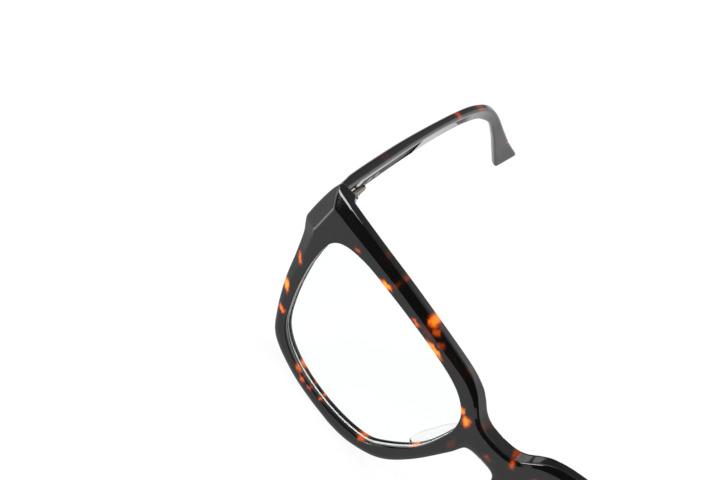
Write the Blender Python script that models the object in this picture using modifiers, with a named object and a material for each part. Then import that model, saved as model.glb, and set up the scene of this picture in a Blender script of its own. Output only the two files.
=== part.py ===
"""Smart glasses: an acetate spectacle frame whose two arms hold the electronics.

The lengths below are in millimetres, and MM turns them into Blender's metres.
X runs across the face (the wearer's right side is at -X), the front faces -Y and Z is up.
Everything is drawn for the wearer's right side and mirrored for the left. While it is drawn,
the front of the bridge is at Y = 0; stand_on_origin() then moves the whole object so that the
origin lies under the middle of it, on the surface it stands on.
"""
import math

import bmesh
import bpy
from mathutils import Matrix, Vector

MM = 0.001
GAP = 0.3                     # clearance kept between pieces that touch

# Front: acetate sheet bent round the face
FACE_RADIUS = 201.0           # radius of the front's horizontal curve
SHEET = 3.9                   # thickness of the sheet
RIM_CENTRE = (-36.0, 2.0)     # X and Z of the point that the rim's stations fan out from
BLOCK_BACK = 16.6             # Y of the flat back of the end piece, where the arm butts
BLOCK_WIDTH = 6.4             # flat part of the end piece's back
BLOCK_RAMP = 1.2              # slope from that flat down to the rim
RIM_LAND = 0.9                # flat land along the rest of the rim's back
GROOVE_DEPTH = 0.95
GROOVE_PLACES = (1.3, 2.0, 2.7)   # front lip, bottom and back lip, measured back from the front
BRIDGE_STEPS = 4              # sections across the bridge's middle
BRIDGE_LEAN = 1.0             # how far the bridge's top wall slopes down to the front
LEAN_LOWEST = 4.0             # the lean is only above this height
LEAN_SPAN = (8.0, 16.0)       # distances from the middle where the lean starts to fade, and ends
OUTLINE_STEPS = 3             # sections from one point of the outline to the next
END_STEPS = 1
REST_STEPS = 2
OPENING_STEPS = 8
SHARP_EDGE = math.radians(35)
WELD = 0.01                   # points closer than this are one
ROUNDING_SEGMENTS = 2
BEVEL_FACES = 1               # place of the bevel's faces in a section of the rim
OUTER_FACES = 2               # and of the outer wall's

# Outer outline of the right half, from the bridge's top round to its underside. Each point is
# X, Z, how far back the bevelled edge is cut, how wide the bevel is, and 1 on the end piece.
TOP_EDGE = (
    (0.0, 7.7, 0.5, 1.6, 0.0), (-3.9, 8.1, 0.5, 1.6, 0.0), (-6.6, 9.3, 0.5, 1.7, 0.0),
    (-9.3, 11.7, 0.6, 1.9, 0.0), (-12.0, 13.5, 0.8, 2.2, 0.0), (-17.6, 15.2, 1.1, 2.6, 0.0),
    (-29.0, 16.6, 1.4, 2.6, 0.0), (-40.6, 17.4, 1.4, 2.8, 0.0), (-52.3, 17.5, 1.4, 3.2, 0.0),
    (-62.5, 17.4, 1.4, 4.6, 0.0), (-64.5, 17.4, 1.4, 5.4, 1.0), (-69.6, 17.3, 1.8, 8.1, 1.0),
)
END_EDGE = ((-69.6, 17.3, 1.8, 8.1, 1.0), (-70.1, 14.7, 2.0, 4.0, 1.0))
SIDE_EDGE = (
    (-70.1, 14.7, 2.0, 4.0, 1.0), (-70.4, 10.0, 2.0, 4.1, 1.0), (-70.3, 4.6, 2.0, 4.0, 1.0),
)
LOWER_EDGE = (
    (-70.3, 4.6, 2.0, 4.0, 1.0), (-68.0, 1.5, 1.6, 3.2, 0.0), (-65.8, -3.5, 1.1, 2.6, 0.0),
    (-63.4, -9.9, 0.6, 1.6, 0.0), (-59.6, -17.0, 0.4, 1.0, 0.0), (-55.4, -21.8, 0.4, 1.0, 0.0),
    (-46.7, -24.2, 0.4, 1.0, 0.0), (-38.0, -24.9, 0.4, 1.0, 0.0),
)
REST_EDGE = ((-38.0, -24.9, 0.4, 1.0, 0.0), (-31.5, -24.9, 0.4, 1.0, 0.0))
NOSE_EDGE = (
    (-31.5, -24.9, 0.4, 1.0, 0.0), (-24.5, -23.8, 0.4, 1.0, 0.0), (-16.9, -20.25, 0.4, 1.0, 0.0),
    (-11.4, -13.7, 0.4, 1.0, 0.0), (-6.4, -4.4, 0.4, 1.1, 0.0), (-5.1, -1.2, 0.4, 1.2, 0.0),
    (-4.3, 0.1, 0.4, 1.4, 0.0), (-2.6, 0.65, 0.4, 1.4, 0.0), (0.0, 0.7, 0.4, 1.4, 0.0),
)
# Lens opening of the right rim (X, Z)
OPENING = (
    (-57.7, 10.4), (-53.2, 11.8), (-47.3, 12.45), (-35.6, 12.4), (-24.1, 11.5), (-16.1, 9.7),
    (-11.3, 6.5), (-9.6, 2.7), (-9.8, -1.5), (-12.6, -9.8), (-18.9, -17.4), (-24.0, -20.6),
    (-34.4, -22.2), (-46.4, -21.5), (-54.4, -18.2), (-58.3, -11.6), (-60.85, -2.6),
    (-61.4, 4.7), (-60.4, 8.2),
)

# Lens: a thin shell whose bevel sits in the rim's groove
LENS_STATIONS = 60
LENS_FACES = (1.2, 2.8)       # its front and back, measured back from the front of the rim
LENS_BEVEL = (1.5, 2.0, 2.5)
LENS_BEVEL_REACH = 0.55       # how far the bevel's ridge stands past the opening
LENS_RINGS = (0.7, 0.4)

# Nose pad: centre line (X, Y, Z), half width and half depth
PAD_STATIONS = (
    (-7.6, 6.0, 0.4, 0.7, 0.9), (-8.3, 6.8, -1.2, 1.5, 2.0), (-9.8, 7.3, -4.4, 1.9, 2.5),
    (-11.2, 7.4, -7.8, 2.0, 2.6), (-12.8, 7.3, -11.0, 1.8, 2.4), (-14.2, 7.0, -13.6, 0.8, 1.1),
)
PAD_SIDES = 14
PAD_STEPS = 3                 # sections from one station to the next

# Hinge, its axis vertical
HINGE_AXIS = (-65.4, 19.25)
BARREL_RADIUS = 1.3
BORE_RADIUS = 0.8
PIN_RADIUS = 0.5
PIN_SPAN = (7.0, 14.6)
PIN_HEAD = (1.05, 0.7)        # radius and height
FRONT_KNUCKLES = ((7.3, 9.2), (12.3, 14.2))
ARM_KNUCKLE = (9.5, 12.0)
FRONT_PLATE = ((-67.1, 16.9, 7.3), (-63.3, 17.6, 14.2))
HOUSING = ((-67.15, 21.0, 9.2), (-65.6, 31.9, 12.9))
SCREW_RADIUS = 0.45
SCREW_HEAD = (0.65, 0.35)     # radius and height; it lies flush with the leaf
FRONT_SCREW_X = -64.6
FRONT_SCREW_HEIGHTS = (9.9, 11.6)
SCREW_LENGTH = 2.2            # how far the front screws reach past the plate
ARM_SCREW_PLACES = ((23.6, 11.05), (29.2, 11.05))   # Y and Z
ARM_SCREW_LENGTH = 1.6
WEB_REACH = 1.1               # half width of the webs that carry the knuckles
NECK_REACH = 1.2              # how far the neck of the arm's knuckle reaches into the housing
OVERLAP = 0.1                 # how far joined bodies reach into each other
CUT_MARGIN = 1.0              # how far a cutter stands out of what it cuts
HOUSING_ROUNDING = 0.45
BARREL_SIDES = 24
SCREW_SIDES = 12
HEAD_SIDES = 16
ROUND_SIDES = 20              # sides of every other cylinder
SLOT_WIDTH = 0.3
SLOT_DEPTH = 0.3

# Arm: Y, X and Z of its middle, height and thickness
ARM_STATIONS = (
    (16.9, -68.65, 10.4, 10.6, 2.3), (22.5, -68.85, 10.0, 10.3, 2.7), (28.0, -69.0, 9.6, 10.0, 3.0),
    (45.0, -68.95, 8.5, 8.8, 3.0), (64.0, -68.7, 7.25, 7.5, 2.8), (87.0, -67.9, 5.7, 5.9, 2.5),
    (104.0, -66.75, 4.55, 4.9, 2.5), (114.0, -65.4, 3.6, 4.2, 2.4), (121.0, -63.9, 1.6, 4.0, 2.4),
    (127.2, -61.9, -1.6, 3.3, 2.4), (134.6, -59.0, -7.6, 3.8, 2.4), (142.1, -56.1, -14.1, 5.3, 2.4),
    (149.4, -53.0, -20.3, 7.6, 2.4),
)
ARM_STEPS = 3                 # sections from one station to the next
ARM_EDGE_RADIUS = 0.7
ARM_CORNER_STEPS = 3          # faces round each edge of the arm
TIP_CLOSING = ((0.7, 0.93), (1.2, 0.72))    # distance past the last section and its scale

# Pocket in the arm's inner face, and what it holds. Y places are along the arm.
POCKET_X = (-69.5, -65.0)           # its floor, and a place beyond the arm's inner face
POCKET_Y = (32.6, 72.0)
POCKET_HEIGHT = 5.0
POCKET_MIDDLE = (52.3, 8.05)        # Y and Z of the middle of its middle line
POCKET_SLOPE = math.radians(3.8)    # fall of that line towards the tip
COVER_FACE = -67.5                  # X of the cover's inner face
COVER_THICKNESS = 0.45
INNER_HEIGHT = 4.2
INNER_ROUNDING = 0.3          # rounding of the battery's and the speaker's edges
BATTERY = (35.7, 51.0)
BATTERY_THICKNESS = 0.9
BOARD = (51.6, 64.6)
BOARD_THICKNESS = 0.3
BOARD_HEIGHT = 4.0
CHIP = (53.0, 57.0)
CHIP_THICKNESS = 0.2
CHIP_HEIGHT = 2.6
SPEAKER = (65.2, 71.4)
SPEAKER_THICKNESS = 0.9
MICROPHONE = (33.2, 35.1)
MICROPHONE_THICKNESS = 0.8
MICROPHONE_HEIGHT = 2.2
TOUCH_STRIP = (51.8, 64.4)
TOUCH_THICKNESS = 0.15
CONTACT_PLACES = (40.0, 45.0)
CONTACT_RADIUS = 0.9
CONTACT_PROUD = 0.1
SPEAKER_SLOTS = {"count": 4, "first": 66.0, "pitch": 1.2, "width": 0.6, "height": 2.6}
BUTTON_PLACE = (60.0, 5.0)          # Y and length of the key under the right arm
BUTTON_X = -68.9
BUTTON_WIDTH = 0.9
BUTTON_HEIGHTS = (-4.6, -2.9)       # below the pocket's middle line
BUTTON_HOLE_DEPTH = 8.0             # from the pocket's middle line, right through the underside
WIRE_RADIUS = 0.5
WIRE_BORE_RADIUS = 0.82
WIRE_BORE_SPAN = (66.0, 141.0)
WIRE_SPAN = (73.5, 140.0)
WIRE_STEPS = 5                # points of the wire from one station of the arm to the next
WIRE_RESOLUTION = 2

MATERIALS = {
    "tortoiseshell_acetate": ((0.045, 0.018, 0.008), 0.12, 0.0),
    "clear_lens": ((0.93, 0.96, 0.96), 0.03, 0.0),
    "crystal_acetate": ((0.86, 0.84, 0.78), 0.12, 0.0),
    "hinge_metal": ((0.32, 0.29, 0.24), 0.28, 1.0),
    "steel": ((0.55, 0.55, 0.56), 0.3, 1.0),
    "black_polymer": ((0.02, 0.018, 0.017), 0.35, 0.0),
    "battery_foil": ((0.62, 0.62, 0.60), 0.4, 1.0),
    "board_laminate": ((0.02, 0.09, 0.05), 0.5, 0.0),
    "speaker_mesh": ((0.10, 0.10, 0.10), 0.45, 1.0),
    "gold_contact": ((0.80, 0.58, 0.24), 0.25, 1.0),
    "polyimide_film": ((0.55, 0.25, 0.05), 0.4, 0.0),
}


# ---------------------------------------------------------------- scene and helpers
def clear_scene():
    for thing in list(bpy.data.objects):
        bpy.data.objects.remove(thing, do_unlink=True)


def new_collection(name):
    group = bpy.data.collections.new(name)
    bpy.context.scene.collection.children.link(group)
    return group


def make_material(name):
    colour, roughness, metallic = MATERIALS[name]
    material = bpy.data.materials.new(name)
    material.use_nodes = True
    shader = material.node_tree.nodes["Principled BSDF"]
    shader.inputs["Base Color"].default_value = (*colour, 1.0)
    shader.inputs["Roughness"].default_value = roughness
    shader.inputs["Metallic"].default_value = metallic
    return material


def mesh_object(name, points, faces, group, material=None):
    """An object whose mesh has these points, in millimetres."""
    mesh = bpy.data.meshes.new(name)
    mesh.from_pydata([Vector(p) * MM for p in points], [], faces)
    mesh.validate()
    mesh.shade_smooth()
    mesh.set_sharp_from_angle(angle=SHARP_EDGE)
    thing = bpy.data.objects.new(name, mesh)
    if material:
        mesh.materials.append(material)
    group.objects.link(thing)
    return thing


def frozen(thing):
    """The object with its modifiers worked into its mesh."""
    graph = bpy.context.evaluated_depsgraph_get()
    mesh = bpy.data.meshes.new_from_object(thing.evaluated_get(graph))
    thing.modifiers.clear()
    thing.data = mesh
    return thing


def boolean(thing, tool, operation):
    step = thing.modifiers.new(operation.lower(), "BOOLEAN")
    step.operation = operation
    step.solver = "EXACT"
    step.object = tool


def as_cutter(thing, cutters):
    for group in list(thing.users_collection):
        group.objects.unlink(thing)
    cutters.objects.link(thing)
    thing.hide_render = True
    thing.display_type = "WIRE"
    return thing


def carve(thing, tools, cutters):
    """Cuts the tools out of the object."""
    for tool in tools:
        boolean(thing, as_cutter(tool, cutters), "DIFFERENCE")
    return frozen(thing)


def join(thing, others):
    """Unites the object with others, which are then removed."""
    for other in others:
        boolean(thing, other, "UNION")
    frozen(thing)
    for other in others:
        bpy.data.objects.remove(other, do_unlink=True)
    return thing


def box(name, low, high, group, material=None, bevel=0.0):
    """A box between two corners, in millimetres, with its edges rounded by bevel."""
    bpy.ops.mesh.primitive_cube_add(size=1.0)
    thing = bpy.context.object
    thing.name = thing.data.name = name
    size = [h - l for l, h in zip(low, high)]
    centre = [(h + l) / 2 for l, h in zip(low, high)]
    shape = Matrix.Translation(Vector(centre) * MM) @ Matrix.Diagonal((*[s * MM for s in size], 1.0))
    thing.data.transform(shape)
    adopt(thing, group, material)
    if bevel:
        rounding = thing.modifiers.new("rounding", "BEVEL")
        rounding.width = bevel * MM
        rounding.segments = ROUNDING_SEGMENTS
        frozen(thing)
    return thing


def cylinder(name, radius, start, end, group, material=None, sides=ROUND_SIDES):
    """A cylinder between two points, in millimetres."""
    start, end = Vector(start), Vector(end)
    axis = end - start
    bpy.ops.mesh.primitive_cylinder_add(vertices=sides, radius=radius * MM, depth=axis.length * MM)
    thing = bpy.context.object
    thing.name = thing.data.name = name
    turn = axis.to_track_quat("Z", "Y").to_matrix().to_4x4()
    thing.data.transform(Matrix.Translation((start + end) / 2 * MM) @ turn)
    adopt(thing, group, material)
    return thing


def adopt(thing, group, material):
    for other in list(thing.users_collection):
        other.objects.unlink(thing)
    group.objects.link(thing)
    if material:
        thing.data.materials.append(material)


def tube(name, route, radius, group, material=None):
    """A round wire along a route, in millimetres, as a closed mesh."""
    curve = bpy.data.curves.new(name, "CURVE")
    curve.dimensions = "3D"
    curve.bevel_depth = radius * MM
    curve.bevel_resolution = WIRE_RESOLUTION
    curve.use_fill_caps = True
    spline = curve.splines.new("POLY")
    spline.points.add(len(route) - 1)
    for place, point in zip(route, spline.points):
        point.co = (*[c * MM for c in place], 1.0)
    drawn = bpy.data.objects.new(name + "_curve", curve)
    group.objects.link(drawn)
    graph = bpy.context.evaluated_depsgraph_get()
    mesh = bpy.data.meshes.new_from_object(drawn.evaluated_get(graph))
    weld(mesh)
    thing = bpy.data.objects.new(name, mesh)
    thing.matrix_world = drawn.matrix_world
    group.objects.link(thing)
    bpy.data.objects.remove(drawn, do_unlink=True)
    mesh.materials.clear()
    if material:
        mesh.materials.append(material)
    return thing


def weld(mesh):
    """Merges doubled points and turns every face outwards."""
    work = bmesh.new()
    work.from_mesh(mesh)
    bmesh.ops.remove_doubles(work, verts=work.verts, dist=WELD * MM)
    bmesh.ops.recalc_face_normals(work, faces=work.faces)
    work.to_mesh(mesh)
    work.free()


def spline_value(p0, p1, p2, p3, t):
    """A point of the Catmull-Rom curve from p1 to p2."""
    return tuple(
        0.5 * (2 * b + (c - a) * t + (2 * a - 5 * b + 4 * c - d) * t * t
               + (3 * b - a - 3 * c + d) * t ** 3)
        for a, b, c, d in zip(p0, p1, p2, p3)
    )


def smooth_line(points, steps):
    """A smooth open curve through the points."""
    first = tuple(2 * a - b for a, b in zip(points[0], points[1]))
    last = tuple(2 * a - b for a, b in zip(points[-1], points[-2]))
    padded = (first, *points, last)
    line = []
    for i in range(1, len(padded) - 2):
        for step in range(steps):
            line.append(spline_value(*padded[i - 1:i + 3], step / steps))
    line.append(tuple(points[-1]))
    return line


def smooth_loop(points, steps):
    """A smooth closed curve through the points."""
    count = len(points)
    loop = []
    for i in range(count):
        around = [points[(i + k - 1) % count] for k in range(4)]
        for step in range(steps):
            loop.append(spline_value(*around, step / steps))
    return loop


def lofted(name, rings, group, material):
    """A closed skin over rings of equal length, with both ends capped."""
    count = len(rings[0])
    points = [p for ring in rings for p in ring]
    faces = [tuple(range(count)), tuple(range((len(rings) - 1) * count, len(rings) * count))]
    for r in range(len(rings) - 1):
        for i in range(count):
            j = (i + 1) % count
            faces.append((r * count + i, r * count + j, (r + 1) * count + j, (r + 1) * count + i))
    thing = mesh_object(name, points, faces, group, material)
    weld(thing.data)
    return thing


# ---------------------------------------------------------------- front
def face_curve(x):
    """Y of the front surface of the bent sheet at X."""
    return x * x / (2 * FACE_RADIUS)


def polar(points):
    """Bearing and distance from the rim's centre, and the further values of each point."""
    samples = []
    for x, z, *values in points:
        across, up = x - RIM_CENTRE[0], z - RIM_CENTRE[1]
        angle = math.atan2(up, across)
        while samples and angle < samples[-1][0] - math.pi:
            angle += 2 * math.pi
        samples.append((angle, math.hypot(across, up), *values))
    return samples


def outer_sections():
    """Bearing, distance, bevel depth, bevel width and block share of each section outside."""
    line = []
    for span, steps in ((TOP_EDGE, OUTLINE_STEPS), (END_EDGE, END_STEPS),
                        (SIDE_EDGE, OUTLINE_STEPS), (LOWER_EDGE, OUTLINE_STEPS),
                        (REST_EDGE, REST_STEPS), (NOSE_EDGE, OUTLINE_STEPS)):
        line += smooth_line(span, steps)[:-1]
    line.append(NOSE_EDGE[-1])
    return [(*start, max(0.0, min(1.0, block))) for *start, block in polar(line)]


def opening_samples():
    """The opening's edge by bearing, over a little more than one whole turn."""
    turn = 2 * math.pi
    once = sorted((a % turn, d) for a, d in polar(smooth_loop(OPENING, OPENING_STEPS)))
    return [(once[-1][0] - turn, once[-1][1]), *once, (once[0][0] + turn, once[0][1])]


def opening_distance(angle, samples):
    """Distance of the lens opening's edge from the rim's centre at a bearing."""
    turned = angle % (2 * math.pi)
    for low, high in zip(samples, samples[1:]):
        if low[0] <= turned <= high[0]:
            share = (turned - low[0]) / (high[0] - low[0])
            return low[1] + (high[1] - low[1]) * share
    raise ValueError("bearing outside the opening")


def face_point(angle, distance, depth, drop=0.0):
    """A point of the front, depth behind its front surface and lowered by drop."""
    x = RIM_CENTRE[0] + distance * math.cos(angle)
    z = RIM_CENTRE[1] + distance * math.sin(angle)
    return (x, face_curve(x) + depth, z - drop)


def block_point(angle, distance, share):
    """A point of the back: on the rim for share 0, on the end piece's flat for share 1."""
    x, y, z = face_point(angle, distance, SHEET)
    return (x, y + (BLOCK_BACK - y) * share, z)


def rim_section(angle, inner, outer, depth, bevel, block, drop):
    """The points round one section of the rim, from the opening's front edge outwards."""
    land = RIM_LAND + (BLOCK_WIDTH - RIM_LAND) * block
    front_lip, bottom, back_lip = GROOVE_PLACES
    return [
        face_point(angle, inner, 0.0),
        face_point(angle, outer - bevel, 0.0, drop),
        face_point(angle, outer, depth, drop),
        block_point(angle, outer, block),
        block_point(angle, outer - land, block),
        face_point(angle, outer - land - BLOCK_RAMP, SHEET),
        face_point(angle, inner, SHEET),
        face_point(angle, inner, back_lip),
        face_point(angle, inner + GROOVE_DEPTH, bottom),
        face_point(angle, inner, front_lip),
    ]


def bridge_drop(x, z):
    """How far the front of the top wall lies below its back: only over the bridge."""
    if z < LEAN_LOWEST:
        return 0.0
    start, end = LEAN_SPAN
    return BRIDGE_LEAN * max(0.0, min(1.0, (end - abs(x)) / (end - start)))


def rim_sections():
    """All sections of the right rim: those of the outline, then those of the bridge's middle."""
    opening = opening_samples()
    sections = []
    outer = outer_sections()
    for angle, distance, depth, bevel, block in outer:
        x = RIM_CENTRE[0] + distance * math.cos(angle)
        z = RIM_CENTRE[1] + distance * math.sin(angle)
        inner = opening_distance(angle, opening)
        drop = bridge_drop(x, z)
        sections.append(rim_section(angle, inner, distance, depth, bevel, block, drop))
    under, top = outer[-1], outer[0]
    span = top[0] + 2 * math.pi - under[0]
    for step in range(1, BRIDGE_STEPS):
        angle = under[0] + span * step / BRIDGE_STEPS
        distance = -RIM_CENTRE[0] / math.cos(angle)
        inner = opening_distance(angle, opening)
        sections.append(rim_section(angle, inner, distance, 0.0, top[3], 0.0, 0.0))
    return sections, len(outer)


def frame_half(group, material):
    """The right half of the front, open where it meets the left half at X = 0."""
    sections, outline_count = rim_sections()
    count, size = len(sections), len(sections[0])
    corner = OUTLINE_STEPS * (len(TOP_EDGE) - 1)
    points = [p for section in sections for p in section]
    faces = []
    for s in range(count):
        n = (s + 1) % count
        for i in range(size):
            j = (i + 1) % size
            if i == OUTER_FACES and s >= outline_count - 1:
                continue
            quad = (s * size + i, n * size + i, n * size + j, s * size + j)
            if i == BEVEL_FACES and s == corner:
                faces += [(quad[0], quad[1], quad[3]), (quad[1], quad[2], quad[3])]
            else:
                faces.append(quad)
    half = mesh_object("frame_front", points, faces, group, material)
    for vertex in half.data.vertices:
        if abs(vertex.co.x) < WELD * MM:
            vertex.co.x = 0.0
    return half


def front_screw_places(margin):
    """Start and end of the two screws that hold the front hinge leaf."""
    return [((FRONT_SCREW_X, FRONT_PLATE[1][1] + margin, z),
             (FRONT_SCREW_X, FRONT_PLATE[0][1] - SCREW_LENGTH - margin, z))
            for z in FRONT_SCREW_HEIGHTS]


def arm_screw_places(margin):
    """Start and end of the two screws that hold the hinge's housing to the arm."""
    return [((HOUSING[1][0] + margin, y, z), (HOUSING[0][0] - ARM_SCREW_LENGTH - margin, y, z))
            for y, z in ARM_SCREW_PLACES]


def mirrored_ends(ends):
    return [(-x, y, z) for x, y, z in ends]


def frame_front(parts, cutters, material):
    front = frame_half(parts, material)
    mirror = front.modifiers.new("other_half", "MIRROR")
    mirror.use_axis[0] = True
    mirror.merge_threshold = WELD * MM
    frozen(front)
    weld(front.data)
    tools = []
    for ends in front_screw_places(GAP):
        for pair in (ends, mirrored_ends(ends)):
            bore = cylinder("front_screw_bore", SCREW_RADIUS + GAP, *pair, parts, sides=SCREW_SIDES)
            tools.append(bore)
    return carve(front, tools, cutters)


def lens(name, parts, cutters, material):
    """The right lens: a thin curved sheet with a bevelled edge."""
    opening = opening_samples()
    low, high = LENS_FACES
    profile = [(-GAP, low), (-GAP, LENS_BEVEL[0]), (LENS_BEVEL_REACH, LENS_BEVEL[1]),
               (-GAP, LENS_BEVEL[2]), (-GAP, high)]
    angles = [2 * math.pi * k / LENS_STATIONS for k in range(LENS_STATIONS)]
    edges = [opening_distance(a, opening) for a in angles]
    rings = [[face_point(a, d * scale, low) for a, d in zip(angles, edges)]
             for scale in reversed(LENS_RINGS)]
    rings += [[face_point(a, d + reach, depth) for a, d in zip(angles, edges)]
              for reach, depth in profile]
    rings += [[face_point(a, d * scale, high) for a, d in zip(angles, edges)]
              for scale in LENS_RINGS]
    return lofted(name, rings, parts, material)


def nose_pad(name, parts, cutters, material):
    angles = [2 * math.pi * k / PAD_SIDES for k in range(PAD_SIDES)]
    rings = []
    for x, y, z, half_width, half_depth in smooth_line(PAD_STATIONS, PAD_STEPS):
        rings.append([(x + half_width * math.cos(a), y + half_depth * math.sin(a), z)
                      for a in angles])
    return lofted(name, rings, parts, material)


# ---------------------------------------------------------------- hinge
def barrel(name, span, group, material=None, radius=BARREL_RADIUS):
    """A cylinder on the hinge's axis between two heights."""
    x, y = HINGE_AXIS
    return cylinder(name, radius, (x, y, span[0]), (x, y, span[1]), group, material, BARREL_SIDES)


def barrel_bore(group):
    span = (PIN_SPAN[0] - CUT_MARGIN, PIN_SPAN[1] + CUT_MARGIN)
    return barrel("barrel_bore", span, group, radius=BORE_RADIUS)


def hinge_leaf_front(name, parts, cutters, material):
    """Plate on the end piece's flat back, with the upper and lower knuckles."""
    leaf = box(name, *FRONT_PLATE, parts, material)
    x, y = HINGE_AXIS
    additions = []
    for low, high in FRONT_KNUCKLES:
        additions.append(barrel("knuckle", (low, high), parts))
        web_low = (x - WEB_REACH, FRONT_PLATE[1][1] - OVERLAP, low + OVERLAP)
        additions.append(box("web", web_low, (x + WEB_REACH, y, high - OVERLAP), parts))
    join(leaf, additions)
    tools = [barrel_bore(parts)]
    for ends in front_screw_places(CUT_MARGIN):
        hole = cylinder("front_leaf_hole", SCREW_HEAD[0] + GAP, *ends, parts, sides=HEAD_SIDES)
        tools.append(hole)
    return carve(leaf, tools, cutters)


def hinge_leaf_arm(name, parts, cutters, material):
    """Housing on the arm's inner face, with the middle knuckle."""
    leaf = box(name, *HOUSING, parts, material, bevel=HOUSING_ROUNDING)
    x, y = HINGE_AXIS
    low, high = ARM_KNUCKLE
    neck_low = (x - WEB_REACH, y, low + OVERLAP)
    neck_high = (x + OVERLAP, HOUSING[0][1] + NECK_REACH, high - OVERLAP)
    join(leaf, [box("neck", neck_low, neck_high, parts), barrel("knuckle", ARM_KNUCKLE, parts)])
    tools = [barrel_bore(parts)]
    for ends in arm_screw_places(CUT_MARGIN):
        hole = cylinder("arm_leaf_hole", SCREW_HEAD[0] + GAP, *ends, parts, sides=HEAD_SIDES)
        tools.append(hole)
    return carve(leaf, tools, cutters)


def hinge_screw(name, parts, cutters, material):
    x, y = HINGE_AXIS
    radius, height = PIN_HEAD
    screw = barrel(name, PIN_SPAN, parts, material, PIN_RADIUS)
    top = PIN_SPAN[1] + height
    join(screw, [barrel("head", (PIN_SPAN[1] - OVERLAP, top), parts, None, radius)])
    slot_low = (x - 2 * radius, y - SLOT_WIDTH / 2, top - SLOT_DEPTH)
    slot_high = (x + 2 * radius, y + SLOT_WIDTH / 2, top + CUT_MARGIN)
    return carve(screw, [box("screw_slot", slot_low, slot_high, parts)], cutters)


def plate_screw(name, ends, parts, material):
    """A small screw between its ends, with a flat head at its start."""
    start, end = Vector(ends[0]), Vector(ends[1])
    inward = (end - start).normalized()
    radius, height = SCREW_HEAD
    shank_start = start + inward * OVERLAP
    screw = cylinder(name, SCREW_RADIUS, shank_start, end, parts, material, SCREW_SIDES)
    head_end = start + inward * height
    return join(screw, [cylinder("head", radius, start, head_end, parts, sides=HEAD_SIDES)])


# ---------------------------------------------------------------- arm
def arm_section(middle, along, height, thickness):
    """A rounded rectangle across the arm: height upright, thickness across."""
    side = Vector((-along.y, along.x, 0.0)).normalized()
    up = along.cross(side).normalized()
    ring = []
    for corner in range(4):
        right = 1 if corner in (0, 3) else -1
        top = 1 if corner in (0, 1) else -1
        for step in range(ARM_CORNER_STEPS + 1):
            angle = (corner + step / ARM_CORNER_STEPS) * math.pi / 2
            across = right * (thickness / 2 - ARM_EDGE_RADIUS) + ARM_EDGE_RADIUS * math.cos(angle)
            rise = top * (height / 2 - ARM_EDGE_RADIUS) + ARM_EDGE_RADIUS * math.sin(angle)
            ring.append(middle + side * across + up * rise)
    return ring


def arm_rings():
    line = smooth_line(ARM_STATIONS, ARM_STEPS)
    middles = [Vector((x, y, z)) for y, x, z, *_ in line]
    rings = []
    for i, (*_, height, thickness) in enumerate(line):
        along = middles[min(i + 1, len(middles) - 1)] - middles[max(i - 1, 0)]
        if i == 0:
            along = Vector((0.0, 1.0, 0.0))
        rings.append(arm_section(middles[i], along.normalized(), height, thickness))
    along = (middles[-1] - middles[-2]).normalized()
    *_, height, thickness = line[-1]
    for reach, scale in TIP_CLOSING:
        end = middles[-1] + along * reach
        rings.append(arm_section(end, along, height * scale, thickness * scale))
    return rings


def pocket_box(name, x_span, y_span, z_span, group, material=None, bevel=0.0):
    """A box in the arm, tilted about the pocket's middle so that it follows the arm.

    z_span is measured from the pocket's middle line."""
    low = (x_span[0], y_span[0], POCKET_MIDDLE[1] + z_span[0])
    high = (x_span[1], y_span[1], POCKET_MIDDLE[1] + z_span[1])
    return sloped(box(name, low, high, group, material, bevel))


def sloped(thing):
    middle = Vector((0.0, *POCKET_MIDDLE)) * MM
    turn = Matrix.Rotation(-POCKET_SLOPE, 4, "X")
    thing.data.transform(Matrix.Translation(middle) @ turn @ Matrix.Translation(-middle))
    return thing


def half_span(size):
    return (-size / 2, size / 2)


def wire_route(first, last):
    """Points of the arm's middle line between two Y places."""
    return [(x, y, z) for y, x, z, *_ in smooth_line(ARM_STATIONS, WIRE_STEPS)
            if first <= y <= last]


def button_hole(group, margin):
    """The slot for the key, from the pocket out through the arm's underside."""
    y, length = BUTTON_PLACE
    low, high = (BUTTON_X - BUTTON_WIDTH / 2 - margin, BUTTON_X + BUTTON_WIDTH / 2 + margin)
    y_span = (y - length / 2 - margin, y + length / 2 + margin)
    return pocket_box("button_hole", (low, high), y_span, (-BUTTON_HOLE_DEPTH, 0.0), group)


def arm_shell(name, parts, cutters, material, has_button=False):
    shell = lofted(name, arm_rings(), parts, material)
    tools = [pocket_box("pocket", POCKET_X, POCKET_Y, half_span(POCKET_HEIGHT), parts)]
    tools.append(tube("wire_bore", wire_route(*WIRE_BORE_SPAN), WIRE_BORE_RADIUS, parts))
    for ends in arm_screw_places(GAP):
        bore = cylinder("arm_screw_bore", SCREW_RADIUS + GAP, *ends, parts, sides=SCREW_SIDES)
        tools.append(bore)
    if has_button:
        tools.append(button_hole(parts, GAP))
    return carve(shell, tools, cutters)


def arm_cover(name, parts, cutters, material):
    """The lid over the pocket, flush with the arm's inner face."""
    y_span = (POCKET_Y[0] + GAP, POCKET_Y[1] - GAP)
    height = POCKET_HEIGHT - 2 * GAP
    x_span = (COVER_FACE - COVER_THICKNESS, COVER_FACE)
    cover = pocket_box(name, x_span, y_span, half_span(height), parts, material)
    tools = []
    for y in CONTACT_PLACES:
        z = POCKET_MIDDLE[1]
        ends = ((COVER_FACE - COVER_THICKNESS - CUT_MARGIN, y, z), (COVER_FACE + CUT_MARGIN, y, z))
        tools.append(sloped(cylinder("contact_hole", CONTACT_RADIUS + GAP, *ends, parts)))
    slot = SPEAKER_SLOTS
    for k in range(slot["count"]):
        y = slot["first"] + k * slot["pitch"]
        x_cut = (COVER_FACE - COVER_THICKNESS - CUT_MARGIN, COVER_FACE + CUT_MARGIN)
        hole = pocket_box("speaker_slot", x_cut, (y, y + slot["width"]),
                          half_span(slot["height"]), parts)
        tools.append(hole)
    return carve(cover, tools, cutters)


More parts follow.
